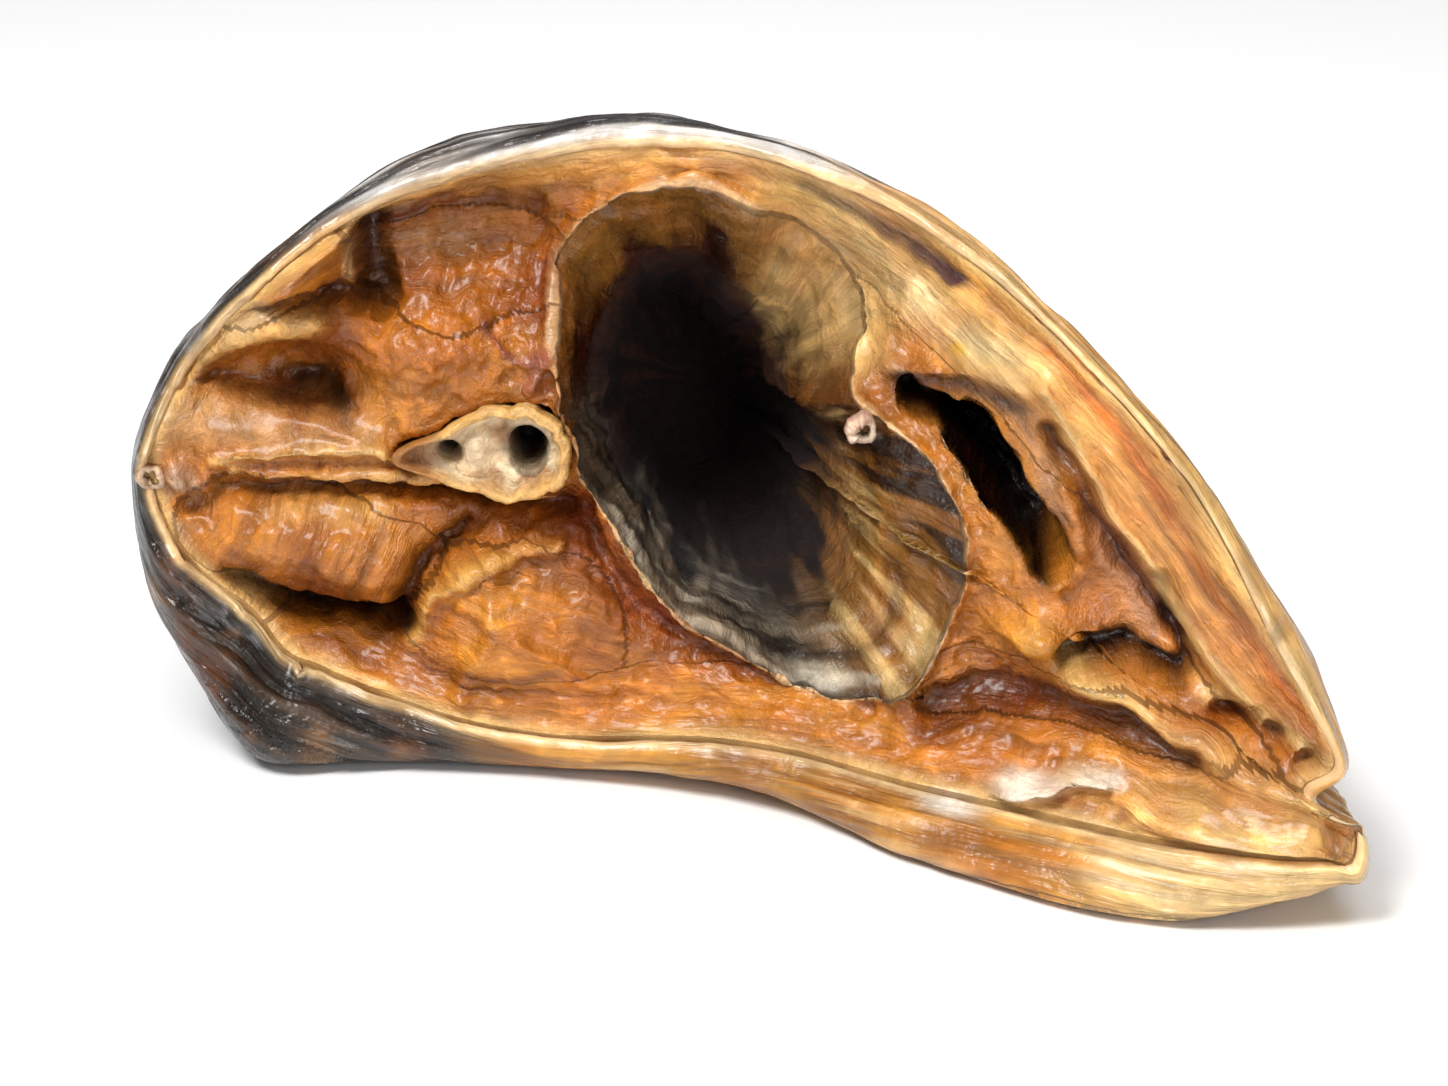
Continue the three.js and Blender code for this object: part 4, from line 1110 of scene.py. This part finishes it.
def buildTailEnd():
    turn = evenTurns(tailEnd["columns"])
    startDepth, length = bodyLines(turn)
    before = np.array(tailEnd["flankSteps"])[:, None] + 0 * length
    bare = flankNet(turn, startDepth, length - before, length)
    flank = tucked(bare, mix(tailEnd["underSkin"], tailEnd["deepUnderSkin"], smooth(0, 5, before)))
    cut = tailFace(flank[-1])
    middle = steak["tailCentre"]
    pole = np.array([middle[0], tailCut(*middle) - tailEnd["closedAt"] - tailEnd["overlap"], middle[1]])
    points = np.concatenate([np.broadcast_to(pole, (1, *flank[-1].shape)), flank, cut["net"]])
    points[-1] = points[-1].mean(axis=0)
    closeSeam(points)
    cutRows = slice(1 + len(flank), len(points))
    raised = roughened(points, tailEnd, seed=47)[cutRows]
    raised += tailEnd["web"] * webAt(cut["flat"], seed=41) * cut["parted"]
    raised *= smooth(0, 1.5, cut["toRim"])
    raised[-1] = 0
    points[cutRows, :, 1] += raised

    colour = plainColour(flesh["colour"], points.shape)
    colour[cutRows] = paintTail(cut)
    colour *= np.array(flesh["tone"])
    gloss = np.full(points.shape[:2], flesh["gloss"])
    gloss[cutRows] += 0.1 * np.clip(cut["mottle"], -1, 1)
    grain = points * 0.4
    grain[cutRows] = cut["lines"]
    mouldNet("flesh_tail_end", points, colour, gloss, grain, fleshMaterial, "flesh")


buildFlesh()
buildTailEnd()


# The skin: a thin shell round the flank, open at both cuts.
skin = {
    "columns": 430, "outerRows": 104, "edgeRows": 5, "innerRows": 14, "thickness": 0.95,
    "lip": 0.45, "lipRagged": 0.5, "lipLeast": 0.25, "flapLip": 0.15, "tailLip": 0.3, "tailRagged": 0.35,
    "wrinkle": 0.26, "wrinkleSize": 2.4, "rimWrinkle": 0.2, "rimWrinkleSize": 2.0, "dent": 0.45,
    "dentSize": 13.0, "gloss": 0.16, "insideGloss": 0.3, "darkUpperTo": 70.0, "darkLowerTo": 34.0,
    "blend": 7.0, "lowest": 0.02, "bellyColour": "d0933e", "backColour": "241b13", "insideColour": "c07a30",
}
skinTints = {
    "bellyPatch": ("a05c16", 0.6), "crease": ("9a5f20", 0.45), "bulgeHighlight": ("f4d296", 0.5),
    "rimLine": ("98561a", 0.3), "flap": ("f7d898", 0.75), "flapBrown": ("a8601c", 0.7),
    "backBulgeHighlight": ("604c3c", 0.6), "backCreaseShade": ("0f0b0a", 0.7), "backPatch": ("683a16", 0.65),
    "backSpeck": ("9a6a34", 0.45), "band": ("57514f", 0.8), "bandFilmAndSheen": ("f4f0ea", 0.9),
    "bandDark": ("1a1615", 0.9), "bellyRim": ("efbd72", 0.85), "lip": ("f4cf94", 0.9),
    "tailEdge": ("e3bd85", 0.65), "frontEdge": ("f4d3a0", 0.85), "fatAndHighlight": ("fff3e0", 0.9),
}

# Small dried tags that stand out from the skin's front edge: turn, width and length.
skinTags = [
    (5.53, 0.012, 1.7), (5.49, 0.02, 0.7), (5.33, 0.03, 0.8), (5.79, 0.014, 1.1), (6.05, 0.03, 0.9),
    (0.13, 0.02, 1.4), (0.37, 0.016, 1.1), (4.9, 0.05, 0.6), (2.6, 0.02, 0.8), (1.5, 0.04, 0.6),
]


def wayOut(inner, edge):
    way = edge - inner
    return way / np.linalg.norm(way, axis=-1, keepdims=True)


def buildSkin():
    turn = evenTurns(skin["columns"])
    startDepth, length = bodyLines(turn)
    distance = np.linspace(0, 1, skin["outerRows"] + 1)[:, None] ** 2 * length
    outer = flankNet(turn, startDepth, distance, length)
    run = runAlong(outer)
    lip = np.maximum(skin["lip"] + skin["lipRagged"] * cloud(outer[0], 3.0, 4, seed=51), skin["lipLeast"])
    lip = mix(lip, skin["flapLip"], flapLevel(outer[0, :, 0], outer[0, :, 2]))
    lip = lip + sum(tagLength * bell(turn - tagTurn, width) for tagTurn, width, tagLength in skinTags)
    tailLip = skin["tailLip"] + skin["tailRagged"] * cloud(outer[-1], 4.0, 4, seed=55)
    outer[..., 1] += tailLip * bell(length - distance, 2.5) - lip * bell(run, 1.5)
    closeSeam(outer)
    normal = netNormals(outer)
    lengthwise = cloud(outer * np.array([1.0, 0.16, 1.0]), skin["wrinkleSize"], 4, seed=52)
    alongRim = cloud(asPoints(outer[..., 0] * 0.12, run, outer[..., 2] * 0.12), skin["rimWrinkleSize"], 4,
                     seed=54)
    nearRim = smooth(18, 11, run)
    wrinkles = np.abs(mix(lengthwise, alongRim, nearRim)) * 2 - 0.5    # bulges between sharp creases
    dents = cloud(outer, skin["dentSize"], 3, seed=53)
    bottom = smooth(2.0, 0.4, outer[..., 2]) * smooth(-0.5, -0.9, normal[..., 2])    # flat where it rests
    raised = mix(skin["wrinkle"], skin["rimWrinkle"], nearRim) * wrinkles + skin["dent"] * dents
    raised = raised * (1 - bottom) * smooth(0, 3, run) * smooth(0, 3, length - distance)
    outer = outer + normal * raised[..., None]
    outer[..., 2] = np.maximum(outer[..., 2], skin["lowest"])
    closeSeam(outer)

    # the inside, and a rolled edge at each cut
    normal = netNormals(outer)
    innerRow = np.rint(np.linspace(skin["outerRows"], 0, skin["innerRows"])).astype(int)
    inner = (outer - skin["thickness"] * normal)[innerRow]
    angle = np.linspace(0, math.pi, skin["edgeRows"] + 2)[1:-1, None, None]
    half = skin["thickness"] / 2
    tailOut = half * np.sin(angle) * wayOut(outer[-3], outer[-1])
    frontOut = half * np.sin(angle) * wayOut(outer[3], outer[0])
    tailEdge = outer[-1] - half * (1 - np.cos(angle)) * normal[-1] + tailOut
    frontEdge = outer[0] - half * (1 + np.cos(angle)) * normal[0] + frontOut
    points = np.concatenate([outer, tailEdge, inner, frontEdge, outer[:1]])
    last = len(outer)
    outerRows, tailRows = slice(0, last), slice(last, last + len(tailEdge))
    frontRows = slice(len(points) - 1 - len(frontEdge), len(points) - 1)

    colour = plainColour(skin["insideColour"], points.shape)
    gloss = np.full(points.shape[:2], skin["insideGloss"])
    colour[outerRows], gloss[outerRows] = paintSkin(outer, turn, run, wrinkles, alongRim, nearRim)
    colour[tailRows] = layOn(colour[last - 1], (skinTints["tailEdge"], 1.0))
    colour[frontRows] = layOn(colour[frontRows], (skinTints["frontEdge"], 1.0))
    grain = points * np.array([0.85, 0.14, 0.85])
    rimGrain = asPoints(outer[..., 0] * 0.11, run * 0.9, outer[..., 2] * 0.11)
    grain[outerRows] = np.where((run < 7)[..., None], rimGrain, grain[outerRows])
    grain[tailRows] = grain[last - 1] + np.linspace(0.1, 0.6, len(tailEdge))[:, None, None]
    grain[frontRows] = grain[0] - np.linspace(0.9, 0.15, len(frontEdge))[:, None, None] * np.array([0, 1, 0])
    for layer in (colour, gloss, grain):
        layer[-1] = layer[0]
    mouldNet("skin_shell", points, colour, gloss, grain, skinMaterial, "flesh")


def paintSkin(outer, turn, run, wrinkles, alongRim, nearRim):
    across, up = outer[..., 0], outer[..., 2]
    upper = np.where(np.sin(turn) >= 0, 1, 0)
    lower = 1 - upper
    patch = cloud(outer, 7.0, 4, seed=61)
    # creases darkened and bulges lightened on belly and back: painted shade and painted highlights
    creaseShading = smooth(-0.15, -0.45, wrinkles)
    flapBrown = np.hypot((across - 75) / 9, (run - 4.5) / 3.2) + 0.3 * patch
    belly = layOn(plainColour(skin["bellyColour"], outer.shape),
                  (skinTints["bellyPatch"], smooth(0.1, 0.9, patch)),
                  (skinTints["crease"], creaseShading),
                  (skinTints["bulgeHighlight"], smooth(0.2, 0.8, wrinkles)),
                  (skinTints["rimLine"], nearRim * smooth(0.3, 0.9, alongRim)),
                  (skinTints["flap"], lower * smooth(14, 5, run) * smooth(80, 92, across + 3 * patch)),
                  (skinTints["flapBrown"], lower * smooth(1.1, 0.4, flapBrown)))
    specks = cloud(outer * np.array([1, 0.4, 1]), 3.2, 4, seed=63)
    back = layOn(plainColour(skin["backColour"], outer.shape),
                 (skinTints["backBulgeHighlight"], smooth(0.1, 0.8, wrinkles)),
                 (skinTints["backCreaseShade"], creaseShading),
                 (skinTints["backPatch"], smooth(0.25, 0.9, -patch)),
                 (skinTints["backSpeck"], smooth(0.5, 1.1, specks)))
    darkTo = mix(skin["darkLowerTo"], skin["darkUpperTo"], upper)
    dark = smooth(skin["blend"], -skin["blend"], across - darkTo + 4 * patch)
    band = smooth(9, 3, run) * upper * smooth(14, 26, across) * smooth(72, 58, across)
    # white streaks on the top band: dried film, painted up as sheen highlights
    stripes = cloud(asPoints(across * 0.07, run, up * 0.07), 1.3, 3, seed=62)
    light = smooth(-0.05, 0.7, stripes + 0.4 * bell(run - 1.6, 0.7))
    # the white bits are fat painted white, partly as painted highlights
    fatAndHighlight = [(skinTints["fatAndHighlight"], formMask(across, up, bit) * smooth(3, 1, run)) for bit in whiteBits]
    colour = layOn(mix(belly, back, dark[..., None]),
                   (skinTints["band"], band),
                   (skinTints["bandFilmAndSheen"], band * light),
                   (skinTints["bandDark"], band * smooth(0.05, 0.4, -stripes) * smooth(1.2, 2.2, run)),
                   (skinTints["bellyRim"], smooth(6, 1, run) * upper * smooth(58, 70, across)),
                   (skinTints["lip"], bell(run, 0.55)), *fatAndHighlight)
    return colour, skin["gloss"] + 0.08 * np.clip(patch, -1, 1) + 0.08 * (1 - dark)


buildSkin()


def buildVertebra():
    direction = np.linspace(0, 2 * math.pi, bone["columns"] + 1)
    reach = boneReach(direction) + bone["ragged"] * cloud(onCircle(direction, 6), 2.0, 3, seed=71)
    oval = 1 / np.hypot(np.cos(direction) / bone["pitHalf"][0], np.sin(direction) / bone["pitHalf"][1])
    oval = oval * (1 + bone["pitRagged"] * cloud(onCircle(direction, 4), 3.0, 2, seed=72))
    pitShare = np.linspace(0, 1, bone["pitRows"] + 1)[:-1, None]
    faceShare = np.linspace(0, 1, bone["faceRows"] + 1)[:, None]
    radius = np.concatenate([oval * pitShare, mix(oval, reach, faceShare)])
    across = bone["centre"][0] + radius * np.cos(direction)
    up = bone["centre"][1] + radius * np.sin(direction)
    toEdge = reach - radius
    wall = smooth(bone["wall"] * 1.9, bone["wall"], toEdge)
    pit = bone["pitDepth"] * np.concatenate([1 - pitShare ** 3, 0 * faceShare])
    canal = formMask(across, up, bone["canal"])
    bowl = bone["bowl"] * (1 - wall) * (1 - 0.6 * formMask(across, up, bone["bridge"]))
    sink = pit + bowl + bone["canalDepth"] * canal + roundedEdge(toEdge, bone["edge"]) * bone["edgeDrop"]
    faceNet = asPoints(across, frontCut(across, up) - bone["standOut"] + sink, up)
    faceNet[..., 1] += bone["rough"] * cloud(faceNet, 1.4, 4, seed=73)

    # straight on to the tail end, where the face shows again
    tailAt = steak["tailSink"] - bone["tailOut"]
    rim = faceNet[-1]
    run = np.linspace(0, 1, bone["runRows"] + 2)[1:-1, None]
    tailY = tailCut(rim[:, 0], rim[:, 2] - bone["lowered"]) - tailAt
    side = asPoints(rim[:, 0], mix(rim[:, 1], tailY, run), rim[:, 2] - bone["lowered"] * run)
    tailNet = faceNet[::-1].copy()
    tailNet[..., 2] -= bone["lowered"]
    tailSink = np.minimum(sink[::-1], bone["tailPit"])
    tailNet[..., 1] = tailCut(tailNet[..., 0], tailNet[..., 2]) - tailAt - tailSink
    points = np.concatenate([faceNet, side, tailNet])

    patch = cloud(faceNet, 2.2, 4, seed=74)
    # the pit, a ring round its edge and the nerve canal painted near black: painted shade
    pitShadeMask = np.concatenate([1 - 0.9 * pitShare ** 6, 0.6 * bell(faceShare, 0.06)])
    paint = layOn(plainColour(bone["colour"], faceNet.shape),
                  (boneTints["patch"], smooth(0.0, 0.7, patch)),
                  (boneTints["wall"], wall),
                  (boneTints["blade"], smooth(30.0, 27.0, across)),
                  (boneTints["stain"], formMask(across, up, bone["stain"])),
                  (boneTints["pit"], pitShadeMask),
                  (boneTints["canal"], canal))
    colour = np.concatenate([paint, np.repeat(paint[-1:], len(side), axis=0), paint[::-1]])
    gloss = np.full(points.shape[:2], bone["gloss"])
    mouldNet("backbone_vertebra", points, colour, gloss, points * 0.8, boneMaterial, "backbone")


buildVertebra()

# Small dried rings: the end of a duct at the cavity's right corner, and one at the back's edge.
# each ring's hole tint is painted shade and its light tint painted light
rings = [
    {"name": "duct_ring", "at": (65.2, 33.4), "radius": 0.95, "tube": 0.5, "forward": 0.9, "seed": 81,
     "colour": "c9a79a", "hole": ("1c0d0a", 0.85), "light": ("f3dcc0", 0.6)},
    {"name": "back_edge_ring", "at": (3.3, 25.6), "radius": 0.85, "tube": 0.4, "forward": 0.1, "seed": 82,
     "colour": "a9743c", "hole": ("1a0a05", 0.85), "light": ("f3dcc0", 0.6)},
]


def buildRing(ring):
    around = np.linspace(0, 2 * math.pi, 49)
    tubeTurn = np.linspace(0, 2 * math.pi, 17)[:, None]
    uneven = cloud(onCircle(around, 3), 2.5, 3, seed=ring["seed"])
    wobble = cloud(onCircle(around, 3), 3.0, 2, seed=ring["seed"] + 5)
    tube = ring["tube"] * (1 + 0.5 * uneven)
    radius = ring["radius"] * (1 + 0.3 * wobble) + tube * np.cos(tubeTurn)
    across, up = ring["at"][0] + radius * np.cos(around), ring["at"][1] + radius * np.sin(around)
    middle = frontFace(*np.array(ring["at"])) - ring["forward"]
    points = asPoints(across, middle - tube * np.sin(tubeTurn) * 1.6 - 0.2 * uneven, up)[::-1].copy()
    # the tube's inner side painted dark as shade in the hole, its front half lighter as painted light
    colour = layOn(plainColour(ring["colour"], points.shape),
                   (ring["hole"], smooth(0.2, 0.9, -np.cos(tubeTurn))[::-1]),
                   (ring["light"], smooth(0.2, 0.9, np.sin(tubeTurn))[::-1]))
    for layer in (points, colour):
        layer[-1] = layer[0]
    gloss = np.full(points.shape[:2], flesh["gloss"])
    mouldNet(ring["name"], points, colour, gloss, points * 0.6, fleshMaterial, "flesh")


for ring in rings:
    buildRing(ring)


# The stage: a pale floor, soft light from large panels, and a long lens at the photograph's angle.
stage = {
    "floor": "f4f4f4", "floorSize": 3.0, "floorRoughness": 0.55, "world": "ffffff", "worldStrength": 0.16,
    "azimuth": 0.0, "elevation": 20.0, "lens": 105.0, "sensor": 36.0, "frameShare": 0.84,
    "aim": (-0.012, 0.022), "lightAim": (0, 0, 0.02),
}


def buildStage():
    bm = bmesh.new()
    bmesh.ops.create_grid(bm, x_segments=1, y_segments=1, size=stage["floorSize"])
    mesh = bpy.data.meshes.new("floor")
    bm.to_mesh(mesh)
    bm.free()
    floor = bpy.data.objects.new("floor", mesh)
    bpy.context.collection.objects.link(floor)
    material = bpy.data.materials.new("pale floor")
    material.use_nodes = True
    feed(material.node_tree, material.node_tree.nodes["Principled BSDF"], {
        "Base Color": (*shade(stage["floor"]), 1), "Roughness": stage["floorRoughness"]})
    mesh.materials.append(material)
    floor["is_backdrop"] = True
    world = bpy.data.worlds.new("studio")
    world.use_nodes = True
    feed(world.node_tree, world.node_tree.nodes["Background"], {
        "Color": (*shade(stage["world"]), 1), "Strength": stage["worldStrength"]})
    bpy.context.scene.world = world
    bpy.context.scene.view_settings.view_transform = "Standard"


panels = [
    {"name": "key panel", "at": (-0.28, -0.3, 0.62), "size": 0.28, "power": 6.2},
    {"name": "top panel", "at": (0.1, 0.25, 0.6), "size": 0.45, "power": 2.2},
    {"name": "front panel", "at": (0.3, -0.7, 0.3), "size": 0.3, "power": 2.0},
]


def buildLights():
    for panel in panels:
        light = bpy.data.lights.new(panel["name"], "AREA")
        light.energy = panel["power"]
        light.size = panel["size"]
        lamp = bpy.data.objects.new(panel["name"], light)
        lamp.location = panel["at"]
        towards = Vector(stage["lightAim"]) - Vector(panel["at"])
        lamp.rotation_euler = towards.to_track_quat("-Z", "Y").to_euler()
        bpy.context.collection.objects.link(lamp)


def buildCamera():
    low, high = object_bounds()
    angle = math.radians(stage["elevation"])
    side = math.radians(stage["azimuth"])
    back = Vector((math.sin(side) * math.cos(angle), -math.cos(side) * math.cos(angle), math.sin(angle)))
    lens = bpy.data.cameras.new("long lens")
    lens.lens = stage["lens"]
    lens.sensor_width = stage["sensor"]
    camera = bpy.data.objects.new("camera", lens)
    width = (high.x - low.x) / stage["frameShare"]
    distance = width * lens.lens / lens.sensor_width
    aim = Vector(((low.x + high.x) / 2, *stage["aim"]))
    camera.location = aim + back * distance
    camera.rotation_euler = (-back).to_track_quat("-Z", "Y").to_euler()
    bpy.context.collection.objects.link(camera)
    bpy.context.scene.camera = camera


buildStage()
buildLights()
buildCamera()
print("stage set")

print("boxes written")
